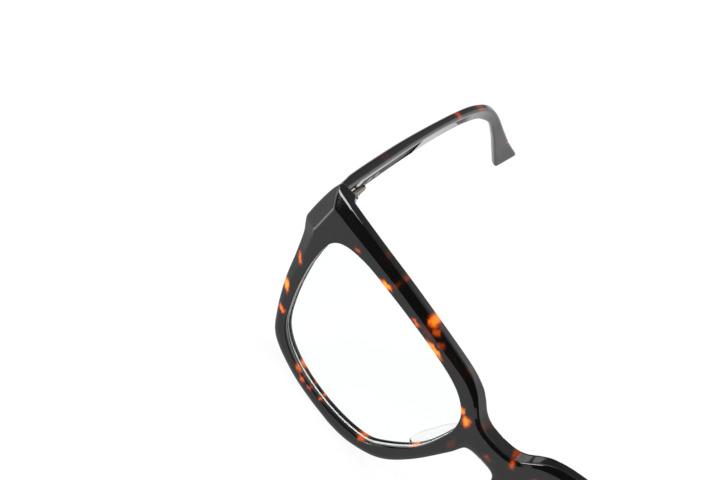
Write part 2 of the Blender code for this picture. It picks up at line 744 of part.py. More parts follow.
def inner_piece(name, y_span, thickness, parts, material, height, bevel=0.0, floor=None):
    """A flat piece in the pocket, standing off its floor."""
    start = POCKET_X[0] + GAP if floor is None else floor
    return pocket_box(name, (start, start + thickness), y_span, half_span(height), parts, material,
                      bevel)


def battery(name, parts, cutters, material):
    return inner_piece(name, BATTERY, BATTERY_THICKNESS, parts, material, INNER_HEIGHT,
                       INNER_ROUNDING)


def circuit_board(name, parts, cutters, material):
    floor = POCKET_X[0] + GAP + TOUCH_THICKNESS + GAP
    board = inner_piece(name, BOARD, BOARD_THICKNESS, parts, material, BOARD_HEIGHT, floor=floor)
    chip_x = (floor + BOARD_THICKNESS - OVERLAP, floor + BOARD_THICKNESS + CHIP_THICKNESS)
    return join(board, [pocket_box("chip", chip_x, CHIP, half_span(CHIP_HEIGHT), parts)])


def speaker(name, parts, cutters, material):
    return inner_piece(name, SPEAKER, SPEAKER_THICKNESS, parts, material, INNER_HEIGHT,
                       INNER_ROUNDING)


def microphone(name, parts, cutters, material):
    return inner_piece(name, MICROPHONE, MICROPHONE_THICKNESS, parts, material,
                       MICROPHONE_HEIGHT)


def touch_strip(name, parts, cutters, material):
    return inner_piece(name, TOUCH_STRIP, TOUCH_THICKNESS, parts, material, INNER_HEIGHT)


def charging_contact(name, place, parts, cutters, material):
    """A bright pad that stands a little out of the cover on both sides."""
    z = POCKET_MIDDLE[1]
    pad = cylinder(name, CONTACT_RADIUS, (COVER_FACE - COVER_THICKNESS - CONTACT_PROUD, place, z),
                   (COVER_FACE + CONTACT_PROUD, place, z), parts, material)
    return sloped(pad)


def core_wire(name, parts, cutters, material):
    return tube(name, wire_route(*WIRE_SPAN), WIRE_RADIUS, parts, material)


def control_button(name, parts, cutters, material):
    """The key under the right arm, in a slot of the arm's underside."""
    y, length = BUTTON_PLACE
    x_span = (BUTTON_X - BUTTON_WIDTH / 2, BUTTON_X + BUTTON_WIDTH / 2)
    y_span = (y - length / 2, y + length / 2)
    return pocket_box(name, x_span, y_span, BUTTON_HEIGHTS, parts, material)


# ---------------------------------------------------------------- assembly
def mirrored_copy(thing, name, group):
    """The left-hand twin of a right-hand piece."""
    mesh = thing.data.copy()
    mesh.transform(Matrix.Diagonal((-1.0, 1.0, 1.0, 1.0)))
    mesh.flip_normals()
    mesh.name = name
    twin = bpy.data.objects.new(name, mesh)
    group.objects.link(twin)
    return twin


def pivot(name, side):
    """An empty on one arm's hinge axis, which carries the arm's pieces."""
    empty = bpy.data.objects.new(name, None)
    empty.location = Vector((side * HINGE_AXIS[0], HINGE_AXIS[1], 0.0)) * MM
    return empty


def stand_on_origin(things, empties):
    """Moves everything so that the origin lies under the middle of the object."""
    corners = [v.co for thing in things for v in thing.data.vertices]
    low = [min(c[k] for c in corners) for k in range(3)]
    high = [max(c[k] for c in corners) for k in range(3)]
    shift = Vector(((low[0] + high[0]) / 2, (low[1] + high[1]) / 2, low[2]))
    for thing in things:
        thing.data.transform(Matrix.Translation(-shift))
    for empty in empties:
        empty.location -= shift


def carry(things, empty):
    """Parents pieces to an empty, whose place becomes their origin."""
    for thing in things:
        thing.data.transform(Matrix.Translation(-empty.location))
        thing.parent = empty


def main():
    clear_scene()
    parts = new_collection("smart_glasses")
    cutters = new_collection("cutters")
    materials = {name: make_material(name) for name in MATERIALS}
    acetate = materials["tortoiseshell_acetate"]

    right_front, right_arm = [], []
    front_makers = (
        ("lens", lens, "clear_lens"), ("nose_pad", nose_pad, "crystal_acetate"),
        ("hinge_leaf_front", hinge_leaf_front, "hinge_metal"),
        ("hinge_screw", hinge_screw, "steel"),
    )
    arm_makers = (
        ("arm_cover", arm_cover, "black_polymer"), ("hinge_leaf_arm", hinge_leaf_arm, "hinge_metal"),
        ("core_wire", core_wire, "steel"), ("battery", battery, "battery_foil"),
        ("circuit_board", circuit_board, "board_laminate"), ("speaker", speaker, "speaker_mesh"),
        ("microphone", microphone, "gold_contact"),
    )
    front = frame_front(parts, cutters, acetate)
    for label, maker, finish in front_makers:
        right_front.append(maker(label + "_right", parts, cutters, materials[finish]))
    for label, ends in zip(("lower", "upper"), front_screw_places(0.0)):
        screw = plate_screw(f"front_leaf_screw_{label}_right", ends, parts, materials["steel"])
        right_front.append(screw)
    for label, maker, finish in arm_makers:
        right_arm.append(maker(label + "_right", parts, cutters, materials[finish]))
    for label, ends in zip(("front", "rear"), arm_screw_places(0.0)):
        screw = plate_screw(f"arm_leaf_screw_{label}_right", ends, parts, materials["steel"])
        right_arm.append(screw)
    for label, place in zip(("front", "rear"), CONTACT_PLACES):
        name = f"charging_contact_{label}_right"
        right_arm.append(charging_contact(name, place, parts, cutters, materials["steel"]))

    left_front = [mirrored_copy(t, t.name.replace("_right", "_left"), parts) for t in right_front]
    left_arm = [mirrored_copy(t, t.name.replace("_right", "_left"), parts) for t in right_arm]
    plain_shell = arm_shell("arm_shell_left", parts, cutters, acetate)
    plain_shell.data.transform(Matrix.Diagonal((-1.0, 1.0, 1.0, 1.0)))
    plain_shell.data.flip_normals()
    left_arm.append(plain_shell)
    right_arm.append(arm_shell("arm_shell_right", parts, cutters, acetate, has_button=True))
    right_arm.append(touch_strip("touch_strip_right", parts, cutters, materials["polyimide_film"]))
    right_arm.append(control_button("control_button_right", parts, cutters, materials["black_polymer"]))

    empties = [pivot("arm_right_pivot", 1), pivot("arm_left_pivot", -1)]
    for empty in empties:
        parts.objects.link(empty)
    stand_on_origin([front, *right_front, *left_front, *right_arm, *left_arm], empties)
    carry(right_arm, empties[0])
    carry(left_arm, empties[1])


main()
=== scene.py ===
"""The looks of the smart glasses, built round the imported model.

Lengths are in millimetres unless a name says otherwise, and MM turns them into metres. Shapes are
drawn in the design's own frame, where the front of the bridge is at Y = 0 and the wearer's right
side is at -X; placed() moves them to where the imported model's front stands.
"""

import math

import bmesh
import bpy
import numpy as np
from mathutils import Matrix, Vector


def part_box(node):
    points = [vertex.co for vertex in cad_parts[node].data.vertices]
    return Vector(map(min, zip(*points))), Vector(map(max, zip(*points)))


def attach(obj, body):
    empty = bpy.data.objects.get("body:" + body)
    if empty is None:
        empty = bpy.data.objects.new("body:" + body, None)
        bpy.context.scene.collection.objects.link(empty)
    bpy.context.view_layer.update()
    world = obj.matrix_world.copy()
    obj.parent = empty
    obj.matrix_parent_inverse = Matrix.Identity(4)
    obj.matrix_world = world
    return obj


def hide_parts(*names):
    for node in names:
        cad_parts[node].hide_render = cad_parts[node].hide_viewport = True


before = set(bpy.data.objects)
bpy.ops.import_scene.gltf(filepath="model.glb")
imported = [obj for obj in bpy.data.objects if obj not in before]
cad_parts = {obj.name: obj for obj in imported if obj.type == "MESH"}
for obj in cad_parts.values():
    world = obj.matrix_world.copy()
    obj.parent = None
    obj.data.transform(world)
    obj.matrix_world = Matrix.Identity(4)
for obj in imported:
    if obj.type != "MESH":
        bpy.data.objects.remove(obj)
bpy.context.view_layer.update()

MM = 0.001
FRONT_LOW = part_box("frame_front")[0] / MM

# Front: acetate sheet bent round the face
FACE_RADIUS = 201.0
SHEET = 3.9
RIM_CENTRE = np.array((-36.0, 2.0))     # X and Z that the rim's stations fan out from
BLOCK_BACK = 16.6                       # Y of the end piece's flat back
LAND_WIDTHS = (0.9, 6.4)                # flat land behind the outer edge: on the rim, end piece
BLOCK_RAMP = 1.3
BLOCK_LIMIT = (-64.2, -62.8)            # X where the end piece's back starts to fall, and ends
TOP_SHIFT = 1.0                         # how much sooner that is at the top, above these heights
TOP_SHIFT_SPAN = (14.5, 17.4)
CROWN_HEIGHT = 15.0                     # the outline is the top edge above this
LOWEST_Z = -24.9                        # Z of the rim's underside in the design's frame
HIGHEST_Z = 17.5                        # and of its top edge
ORIGIN = np.array((0.0, FRONT_LOW.y, FRONT_LOW.z - LOWEST_Z))

# Outer outline of the right half. Each point is X, Z, how deep the bevelled edge is cut, how wide
# the bevel is, how soft its inner ridge is, and 1 on the end piece.
CROWN = (
    (0.0, 7.7, 0.5, 1.6, 0.10, 0.0), (-3.9, 8.1, 0.5, 1.6, 0.10, 0.0),
    (-6.6, 9.3, 0.5, 1.7, 0.12, 0.0), (-9.3, 11.7, 0.6, 1.9, 0.16, 0.0),
    (-12.0, 13.5, 0.8, 2.0, 0.2, 0.0), (-17.6, 15.2, 1.1, 2.2, 0.3, 0.0),
    (-29.0, 16.6, 1.4, 2.3, 0.3, 0.0), (-40.6, 17.4, 1.4, 2.4, 0.12, 0.0),
    (-52.3, 17.5, 1.4, 2.75, 0.06, 0.0), (-62.5, 17.4, 1.4, 3.5, 0.05, 0.0),
    (-64.5, 17.4, 1.5, 3.75, 0.05, 1.0), (-69.6, 17.3, 1.8, 3.95, 0.05, 1.0),
)
FLANK = (
    (-69.6, 17.3, 2.0, 3.5, 0.05, 1.0), (-70.1, 14.7, 2.0, 3.85, 0.05, 1.0),
    (-70.4, 10.0, 2.0, 4.1, 0.05, 1.0), (-70.4, 5.9, 2.0, 4.1, 0.05, 1.0),
    (-70.2, 4.6, 2.0, 4.0, 0.06, 1.0), (-69.3, 3.3, 1.9, 3.7, 0.08, 0.8),
    (-68.0, 1.6, 1.6, 3.2, 0.12, 0.0), (-65.8, -3.5, 1.1, 2.6, 0.14, 0.0),
    (-63.4, -9.9, 0.7, 1.7, 0.16, 0.0), (-59.6, -17.0, 0.5, 1.1, 0.16, 0.0),
    (-55.4, -21.8, 0.5, 1.1, 0.16, 0.0), (-46.7, -24.2, 0.5, 1.1, 0.16, 0.0),
    (-38.0, -24.9, 0.5, 1.1, 0.16, 0.0), (-31.5, -24.9, 0.5, 1.1, 0.16, 0.0),
    (-24.5, -23.8, 0.5, 1.1, 0.16, 0.0), (-16.9, -20.25, 0.5, 1.1, 0.16, 0.0),
    (-11.4, -13.7, 0.5, 1.1, 0.16, 0.0), (-6.4, -4.4, 0.5, 1.2, 0.16, 0.0),
    (-5.1, -1.2, 0.5, 1.3, 0.16, 0.0), (-4.3, 0.1, 0.5, 1.4, 0.16, 0.0),
    (-2.6, 0.65, 0.5, 1.4, 0.16, 0.0), (0.0, 0.7, 0.5, 1.4, 0.16, 0.0),
)
OPENING = (
    (-57.7, 10.4), (-53.2, 11.8), (-47.3, 12.45), (-35.6, 12.4), (-24.1, 11.5), (-16.1, 9.7),
    (-11.3, 6.5), (-9.6, 2.7), (-9.8, -1.5), (-12.6, -9.8), (-18.9, -17.4), (-24.0, -20.6),
    (-34.4, -22.2), (-46.4, -21.5), (-54.4, -18.2), (-58.3, -11.6), (-60.85, -2.6),
    (-61.4, 4.7), (-60.4, 8.2),
)
STATION_PITCH = 0.45          # distance between sections along the outline
MIDDLE_STATIONS = 10          # sections that end on the plane between the two halves
MIRROR_POINTS = 24            # points by which an edge line goes on past that plane
CORNER_ROUNDING = 5           # smoothing passes over the end piece's outer corner
CORNER_REACH = 1.3            # distance from the corner up to which they act
EDGE_STEPS = np.array((0.0, 0.04, 0.1, 0.18, 0.28, 0.42))          # rows in from the outer edge
OPENING_STEPS = np.array((0.0, 0.05, 0.12, 0.25))                  # and out from the opening
FRONT_ROWS = 21               # rows between those two groups, on the front
BACK_EDGE_STEPS = np.array((0.0, 0.05, 0.12, 0.22, 0.35, 0.5))
LAND_SHARES = np.array((0.4, 0.7, 0.95))
RAMP_ROWS = 9
TAIL_ROWS = 9
WALL_ROWS = 6
EDGE_FILLET = 0.4             # rounding of the front's outer edge
INNER_FILLET = 0.3            # rounding of the opening's edges
PAINTED_HIGHLIGHT_DEEPEST = 2.4           # the painted highlight along the ridge is only on points less deep than this
PAINTED_HIGHLIGHT_SIDE_SHARE = 0.45            # how strongly the painted highlight on the side facet's edge shows against the top facet
PAINTED_GLINT_REACH = 0.35           # size of the painted bright spot, a painted glint, where the three facets meet
BACK_FILLET = 0.3             # rounding of the back's outer edge
BRIDGE_LEAN = 1.0             # how far the bridge's top wall slopes down to the front
LEAN_REACH = 3.5              # how far that lean is felt down the front
LEAN_SPAN = (8.0, 16.0)       # distance from the middle where the lean starts to fade and ends
LEAN_LOWEST = 4.0             # the lean is only above this height
# The opening's wall, as distance past the opening and depth: it holds the lens in a groove
GROOVE = np.array((
    (0.0, 3.3), (0.0, 2.8), (0.07, 2.7), (0.95, 2.1), (0.95, 1.9), (0.07, 1.3), (0.0, 1.2),
    (0.0, 0.7),
))
ON_PLANE = 0.02               # points closer than this to the plane between the halves are on it

# Lens
LENS_STATIONS = 200
LENS_FACES = (1.2, 2.8)
LENS_GAP = 0.12
LENS_CHAMFER = 0.08
LENS_RINGS = np.linspace(0.05, 0.96, 14)   # rings of its faces, as shares of the edge's distance
RING_MARGIN = 0.02            # points closer than this to a place on the lens's edge are on it
COATED_IOR = 1.18             # stands for the anti-reflection coating
# Its bevelled edge, as distance past the opening, depth, and 1 where it is ground matt
LENS_EDGE = (
    (-0.12, 1.55, 0.0), (0.6, 1.94, 0.0), (0.6, 2.06, 0.0), (0.45, 2.14, 0.0), (0.4, 2.17, 1.0),
    (0.12, 2.32, 1.0), (0.07, 2.35, 0.0), (-0.12, 2.45, 0.0),
)

# Nose pad: centre line (X, Y, Z), half width and half depth
PAD_STATIONS = (
    (-7.6, 6.0, 0.4, 0.7, 0.9), (-8.3, 6.8, -1.2, 1.5, 2.0), (-9.8, 7.3, -4.4, 1.9, 2.5),
    (-11.2, 7.4, -7.8, 2.0, 2.6), (-12.8, 7.3, -11.0, 1.8, 2.4), (-14.2, 7.0, -13.6, 0.8, 1.1),
)
PAD_SIDES = 36
PAD_STEPS = 8
PAD_END = 0.35                # how far its rounded ends stand out
PAD_END_SHARES = (0.8, 0.45)

# Arm: Y, X and Z of its middle, height and thickness
ARM_STATIONS = (
    (16.9, -68.65, 10.4, 10.6, 2.3), (22.5, -68.85, 10.0, 10.3, 2.7), (28.0, -69.0, 9.6, 10.0, 3.0),
    (45.0, -68.95, 8.5, 8.8, 3.0), (64.0, -68.7, 7.25, 7.5, 2.8), (87.0, -67.9, 5.7, 5.9, 2.5),
    (104.0, -66.75, 4.55, 4.9, 2.5), (114.0, -65.4, 3.6, 4.2, 2.4), (121.0, -63.9, 1.6, 4.0, 2.4),
    (127.2, -61.9, -1.6, 3.3, 2.4), (134.6, -59.0, -7.6, 3.8, 2.4), (142.1, -56.1, -14.1, 5.3, 2.4),
    (147.9, -53.6, -19.0, 7.1, 2.4),
)
ARM_STEPS = 14
ARM_EDGE_RADIUS = 0.75
ARM_CORNER_STEPS = 6
ARM_FLAT_STEPS = 5
ARM_TIP_REACH = 1.0           # length of the rounded end past the last station
ARM_TIP_STEPS = 7
ARM_TIP_SHRINK = (1.7, 1.2, 0.45)     # how fast height, thickness and edge radius shrink there
ARM_FRONT_CHAMFER = 0.15

# Pocket in the arm's inner face, its cover and the key under the arm
POCKET_X = (-69.5, -65.0)
POCKET_Y = (32.6, 72.0)
POCKET_HEIGHT = 5.0
POCKET_MIDDLE = (52.3, 8.05)
POCKET_SLOPE = math.radians(3.8)
COVER_FACE = -67.5
COVER_THICKNESS = 0.45
COVER_GAP = 0.15
CONTACT_PLACES = (40.0, 45.0)
CONTACT_RADIUS = 0.9
SPEAKER_SLOTS = {"count": 4, "first": 66.0, "pitch": 1.2, "width": 0.6, "height": 2.6}
BUTTON_PLACE = (60.0, 5.0)
BUTTON_X = -68.9
BUTTON_WIDTH = 0.9
BUTTON_HEIGHTS = (-4.6, -2.9)
BUTTON_ROUNDING = 0.18
BUTTON_HOLE = (-8.0, 0.0)
RIBS = {"count": 5, "pitch": 0.6, "width": 0.2, "depth": 0.12}
SLOT_CLEARANCE = 0.2
SPEAKER_SLOT_ROUNDING = 0.25
COVER_ROUNDING = 0.08
COVER_CUT_REACH = 2           # how far the cover's cutters stand out either side of its face
CUT_REACH = 1.0               # how far a cutter stands out of what it cuts

# Hinge
HINGE_AXIS = (-65.4, 19.25)
BARREL_RADIUS = 1.3
BORE_RADIUS = 0.8
FRONT_KNUCKLES = ((7.3, 9.2), (12.3, 14.2))
ARM_KNUCKLE = (9.5, 12.0)
FRONT_PLATE = ((-67.1, 16.9, 7.3), (-63.3, 17.6, 14.2))
HOUSING = ((-67.15, 21.0, 9.2), (-65.6, 30.3, 12.9))
FRONT_SCREW_X = -64.6
FRONT_SCREW_HEIGHTS = (9.9, 11.6)
FRONT_SCREW_CUT = (15.5, 18.5)
ARM_SCREW_PLACES = ((23.6, 11.05), (29.2, 11.05))
SCREW_HOLE_RADIUS = 0.85
WEB_REACH = 1.1
WEB_OVERLAP = 0.3             # how far the webs reach into the plate
WEB_INSET = 0.1
WEB_ROUNDING = 0.1
NECK_REACH = 1.2              # how far the arm knuckle's neck reaches into the housing
NECK_ROUNDING = 0.12
KNUCKLE_FILLET = 0.12
PLATE_ROUNDING = 0.15
HOUSING_ROUNDING = 0.62
HOUSING_GROOVE = 0.45         # width of the grooves along the housing
GROOVE_CUT = 0.3              # and their depth
GROOVE_ENDS = (0.8, 0.7)      # how far they stop short of its ends
GROOVE_OFFSETS = (-1.2, 1.2)  # heights of the two on its inner face, from its middle

FLECK_CORE = 0.2              # an amber mark is warmest up to this share of its half lengths,
FLECK_HALO = 1.75             # and black again from this one on

# Amber marks in the front's right half: X, Z, half length, half width, tilt in degrees and heat,
# from 0.2 for a dark red cloud to 1 for yellow
FRONT_FLECKS = (
    (-30.6, 16.5, 1.9, 1.3, -40, 0.85), (-28.3, 15.4, 1.5, 1.0, -20, 0.6),
    (-25.2, 14.2, 1.2, 0.9, 0, 0.55), (-25.8, 12.3, 2.9, 0.75, -4, 1.0),
    (-33.2, 13.1, 2.0, 0.6, 4, 0.72), (-29.6, 13.8, 3.0, 1.2, -8, 0.36),
    (-44.4, 13.2, 2.3, 0.7, 8, 1.0), (-42.8, 15.0, 0.8, 1.9, -24, 0.4),
    (-42.5, 17.8, 0.9, 0.9, 0, 0.5), (-55.0, 12.5, 1.0, 0.6, 0, 0.62),
    (-49.4, 17.9, 1.1, 0.9, 0, 0.38), (-16.6, 15.6, 1.8, 0.9, -20, 0.4),
    (-8.7, 5.6, 1.5, 1.3, -30, 0.95), (-10.8, 6.9, 1.5, 0.5, -38, 0.9),
    (0.9, 2.9, 1.5, 0.8, 6, 0.52), (5.9, 6.4, 1.0, 1.4, 25, 0.66), (4.8, 8.0, 0.9, 0.8, 0, 0.5),
    (12.2, 7.4, 1.5, 0.9, 30, 0.52), (-7.4, -1.7, 1.1, 2.2, 12, 0.36),
    (-4.5, 7.8, 1.8, 0.8, 0, 0.34), (-64.2, -2.5, 1.7, 0.9, -24, 0.74),
    (-62.0, -10.1, 2.1, 0.8, -34, 0.96), (-59.0, -15.2, 1.9, 0.75, 6, 0.8),
    (-46.0, -21.2, 1.8, 1.0, -30, 0.8), (-43.4, -22.6, 1.3, 0.7, -12, 0.7),
    (-40.4, -22.6, 1.1, 0.5, 0, 0.62), (-36.6, -21.7, 1.6, 0.6, 4, 0.95),
    (-23.0, -19.9, 1.4, 0.9, 26, 0.8),
)
WALL_DEPTHS = (0.4, 3.7)      # the opening's wall has marks of its own between these depths,
WALL_REACH = 1.0              # up to this distance past its edge
# Those marks
WALL_FLECKS = (
    (-14.0, -10.0, 1.6, 1.9, 30, 0.95), (-36.5, -21.0, 1.8, 1.6, 0, 0.6),
    (-23.5, -20.8, 1.5, 1.5, 0, 0.7), (-61.0, -1.2, 1.5, 0.8, 0, 0.74),
    (-59.2, -7.3, 1.5, 1.0, 0, 0.74), (-57.0, -12.0, 1.5, 1.1, 30, 0.7),
)
# The same for the arm, by Y and Z
ARM_FLECKS = (
    (141.6, -10.8, 1.4, 0.8, 10, 0.9), (140.1, -14.1, 2.2, 0.45, 8, 0.5),
    (125.0, -0.8, 0.9, 0.8, 0, 0.48), (112.5, 5.9, 3.2, 1.0, -12, 0.5),
    (97.8, 7.6, 1.9, 1.2, 0, 0.58), (88.0, 6.8, 2.2, 1.2, 0, 0.34), (74.0, 5.0, 2.6, 1.1, 8, 0.6),
    (46.0, 12.2, 3.0, 0.9, 0, 0.36), (29.0, 6.6, 2.2, 1.6, 30, 0.75),
)
SCATTER_SPAN = (14.0, 20.0)   # X where the front's scattered marks begin, and are full
ARM_SCATTER = {"right": 0.35, "left": 0.9}     # how strong they are on the arms

# Acetate: its colour by heat, and the painted highlight along the ridge round the end piece
HEAT_COLOURS = (
    (0.0, (0.0022, 0.0020, 0.0019)), (0.2, (0.008, 0.0036, 0.0025)), (0.36, (0.055, 0.008, 0.003)),
    (0.52, (0.25, 0.026, 0.003)), (0.68, (0.66, 0.10, 0.005)), (0.84, (0.95, 0.25, 0.008)),
    (1.0, (1.0, 0.42, 0.022)),
)
# colour of the painted highlight along the end piece's ridges
PAINTED_HIGHLIGHT_COLOUR = (0.30, 0.285, 0.28)
PAINTED_HIGHLIGHT_FADE = (0.03, 0.17)     # level differences between which the painted ridge highlight fades out

# Brightness of the surroundings, and the directions' X, Y or Z between which it changes
WORLD_FRONT = 0.06
WORLD_SIDES = (0.2, 1.15)
WORLD_TOP = 0.6
WORLD_SIDE_SPAN = (-0.14, 0.24)
WORLD_BACK_SPAN = (0.0, 0.45)
WORLD_TOP_SPAN = (0.75, 0.95)

# Lights: place and what they point at in metres, size in metres, watts, and whether they are
# mirrored in glossy surfaces
LIGHTS = {
    "top_softbox": ((0.0, 0.25, 1.1), (0.0, 0.0, 0.0), (1.1, 1.1), 6.0, False),
    "side_softbox": ((-1.0, 0.3, 0.8), (0.0, 0.0, 0.02), (0.7, 0.7), 3.0, True),
    "front_softbox": ((-0.9, -0.7, 0.45), (0.0, 0.0, 0.02), (0.5, 0.5), 12.0, True),
}
FLOOR_REACH = 3.0             # half the floor's side, in metres
FLOOR_COLOUR = (0.12, 0.12, 0.12, 1.0)
FLOOR_GLOW = 0.9

# Camera, in the design's frame
CAMERA_PLACE = (-16.42, -506.56, 338.91)
CAMERA_AIM = (-55.78, 0.0, 19.78)
CAMERA_ROLL = math.radians(43.35)
CAMERA_LENS = 129.99
SENSOR_WIDTH = 36.0


# ---------------------------------------------------------------- small helpers
def placed(points):
    """Points of the design's frame, in millimetres, as world points in metres."""
    return (np.asarray(points, float).reshape(-1, 3) + ORIGIN) * MM


def mesh_object(name, points, faces, sharp_angle=None):
    """A smooth-shaded object from points of the design's frame."""
    mesh = bpy.data.meshes.new(name)
    mesh.from_pydata(placed(points).tolist(), [], faces)
    thing = bpy.data.objects.new(name, mesh)
    bpy.context.scene.collection.objects.link(thing)
    cleaned(thing)
    shade(thing, sharp_angle)
    return thing


def shade(thing, sharp_angle=None):
    thing.data.shade_smooth()
    if sharp_angle is not None:
        thing.data.set_sharp_from_angle(angle=math.radians(sharp_angle))


def cleaned(thing, distance=0.0005):
    """Merges doubled points, drops stray faces and turns the rest outwards."""
    work = bmesh.new()
    work.from_mesh(thing.data)
    bmesh.ops.remove_doubles(work, verts=work.verts, dist=distance * MM)
    bmesh.ops.dissolve_degenerate(work, edges=work.edges, dist=distance * MM)
    bmesh.ops.recalc_face_normals(work, faces=work.faces)
    work.to_mesh(thing.data)
    work.free()


def applied(thing):
    """The object with its modifiers worked into its mesh."""
    graph = bpy.context.evaluated_depsgraph_get()
    mesh = bpy.data.meshes.new_from_object(thing.evaluated_get(graph))
    thing.modifiers.clear()
    thing.data = mesh
    return thing


def combined(thing, others, operation):
    """Cuts the others out of the object, or unites it with them, and removes them."""
    for other in others:
        step = thing.modifiers.new("combine", "BOOLEAN")
        step.operation = operation
        step.solver = "EXACT"
        step.object = other
    applied(thing)
    for other in others:
        bpy.data.objects.remove(other, do_unlink=True)
    return thing


def rounded(thing, width, segments=2, angle=40):
    """Rounds the object's sharp edges."""
    step = thing.modifiers.new("rounding", "BEVEL")
    step.width = width * MM
    step.segments = segments
    step.limit_method = "ANGLE"
    step.angle_limit = math.radians(angle)
    return applied(thing)


def mirrored(thing, name):
    """The left-hand twin of a right-hand piece."""
    mesh = thing.data.copy()
    mesh.transform(Matrix.Diagonal((-1.0, 1.0, 1.0, 1.0)))
    mesh.flip_normals()
    twin = bpy.data.objects.new(name, mesh)
    bpy.context.scene.collection.objects.link(twin)
    return twin


def grid_faces(rows, columns, close_rows=False, close_columns=False):
    """Quads over a grid of points numbered row by row."""
    faces = []
    for r in range(rows if close_rows else rows - 1):
        for c in range(columns if close_columns else columns - 1):
            nr, nc = (r + 1) % rows, (c + 1) % columns
            faces.append((r * columns + c, nr * columns + c, nr * columns + nc, r * columns + nc))
    return faces


def lofted(name, rings, sharp_angle=None):
    """A closed skin over rings of equal length, with both ends capped."""
    count = len(rings[0])
    faces = grid_faces(len(rings), count, close_columns=True)
    last = (len(rings) - 1) * count
    faces += [tuple(range(count)), tuple(range(last, last + count))]
    return mesh_object(name, np.concatenate([np.asarray(r, float) for r in rings]), faces, sharp_angle)


def box(low, high, bevel=0.0):
    """A box between two corners, with its edges rounded by bevel."""
    corners = [(x, y, z) for x in (low[0], high[0]) for y in (low[1], high[1])
               for z in (low[2], high[2])]
    faces = [(0, 1, 3, 2), (4, 6, 7, 5), (0, 4, 5, 1), (2, 3, 7, 6), (0, 2, 6, 4), (1, 5, 7, 3)]
    thing = mesh_object("box", corners, faces, 30)
    return rounded(thing, bevel, 3) if bevel else thing


def turned(profile, base, axis, sides=40):
    """A solid turned about an axis from base: the profile is (distance along, radius) pairs."""
    along = Vector(axis).normalized()
    side = along.orthogonal().normalized()
    other = along.cross(side)
    rings = []
    for distance, radius in profile:
        middle = Vector(base) + along * distance
        rings.append([middle + (side * math.cos(a) + other * math.sin(a)) * radius
                      for a in np.linspace(0, 2 * math.pi, sides, endpoint=False)])
    return lofted("turned", rings, 30)


def rounded_profile(radius, length, fillet, steps=3):
    """The profile of a cylinder whose two edges are rounded."""
    arc = [(fillet * (1 - math.cos(a)), radius - fillet + fillet * math.sin(a))
           for a in np.linspace(0, math.pi / 2, steps + 1)]
    return arc + [(length - d, r) for d, r in reversed(arc)]


# ---------------------------------------------------------------- curves
def between(rows, steps):
    """Points of a smooth curve through the rows, from the second to the last but one."""
    line = []
    for a, b, c, d in zip(rows, rows[1:], rows[2:], rows[3:]):
        for t in np.arange(steps) / steps:
            line.append(0.5 * (2 * b + (c - a) * t + (2 * a - 5 * b + 4 * c - d) * t * t
                               + (3 * b - a - 3 * c + d) * t ** 3))
    return line


def spline(points, steps):
    """A smooth open curve through the rows of points."""
    p = np.asarray(points, float)
    p = np.vstack((2 * p[0] - p[1], p, 2 * p[-1] - p[-2]))
    return np.array([*between(p, steps), p[-2]])


def spline_loop(points, steps):
    """A smooth closed curve through the rows of points."""
    p = np.asarray(points, float)
    return np.array(between(np.vstack((p[-1], p, p[0], p[1])), steps))


def evenly(line, pitch):
    """The line sampled at even distances along its first two columns."""
    lengths = np.hypot(*np.diff(line[:, :2], axis=0).T)
    travelled = np.concatenate(([0.0], np.cumsum(lengths)))
    places = np.linspace(0, travelled[-1], int(travelled[-1] / pitch) + 1)
    return np.stack([np.interp(places, travelled, column) for column in line.T], axis=1)


def smoothstep(value, low=0.0, high=1.0):
    t = np.clip((np.asarray(value, float) - low) / (high - low), 0, 1)
    return t * t * (3 - 2 * t)


def bearing(points):
    """Angle and distance of (X, Z) points from the rim's centre."""
    offset = np.asarray(points, float)[..., :2] - RIM_CENTRE
    return np.arctan2(offset[..., 1], offset[..., 0]), np.hypot(offset[..., 0], offset[..., 1])


def fanned(distances, toward):
    """(X, Z) points at distances from the rim's centre, one row of them for each direction."""
    return RIM_CENTRE + distances[..., None] * toward[:, None, :]


def directions(angles):
    return np.stack((np.cos(angles), np.sin(angles)), axis=1)


def opening_distance(angles):
    """Distance of the lens opening's edge from the rim's centre at some bearings."""
    edge_angles, distances = bearing(spline_loop(OPENING, 16))
    order = np.argsort(edge_angles)
    return np.interp(angles, edge_angles[order], distances[order], period=2 * math.pi)


def face_y(x):
    """Y of the front surface of the bent sheet."""
    return x * x / (2 * FACE_RADIUS)


# ---------------------------------------------------------------- front
def corner_distance(line):
    """Distance of each point of the outline from the end piece's upper corner."""
    return np.hypot(line[:, 0] - CROWN[-1][0], line[:, 1] - CROWN[-1][1])


def outline():
    """The right half's outer outline: X, Z, depth, width and softness of bevel, block share."""
    line = np.vstack((spline(CROWN, 8)[:-1], spline(FLANK, 8)))
    line = evenly(line, STATION_PITCH)
    line[:, 1] = np.clip(line[:, 1], LOWEST_Z, HIGHEST_Z)
    line[:, 5] = smoothstep(line[:, 5])
    near = (corner_distance(line) < CORNER_REACH)[1:-1]
    for _ in range(CORNER_ROUNDING):
        middle = (line[:-2, :2] + line[2:, :2]) / 2
        line[1:-1, :2] = np.where(near[:, None], (line[1:-1, :2] + middle) / 2, line[1:-1, :2])
    return line


def nearest(points, line):
    """Distance from each point to the line, and the line's further columns there."""
    start, step = line[:-1, :2], np.diff(line[:, :2], axis=0)
    length2 = np.maximum((step ** 2).sum(1), 1e-9)
    offset = points[:, None, :] - start[None]
    share = np.clip((offset * step[None]).sum(2) / length2, 0, 1)
    gap = offset - share[..., None] * step[None]
    distances = np.sqrt((gap ** 2).sum(2))
    best = distances.argmin(1)
    row = np.arange(len(points))
    along = share[row, best][:, None]
    values = line[best, 2:] * (1 - along) + line[best + 1, 2:] * along
    return distances[row, best], values.T


def with_mirror_end(line, at_start):
    """The line, continued past X = 0 by a few of its own mirrored points."""
    twin = line * np.array((-1, 1, 1, 1, 1, 1))
    if at_start:
        return np.vstack((twin[1:MIRROR_POINTS][::-1], line))
    return np.vstack((line, twin[-MIRROR_POINTS:-1][::-1]))


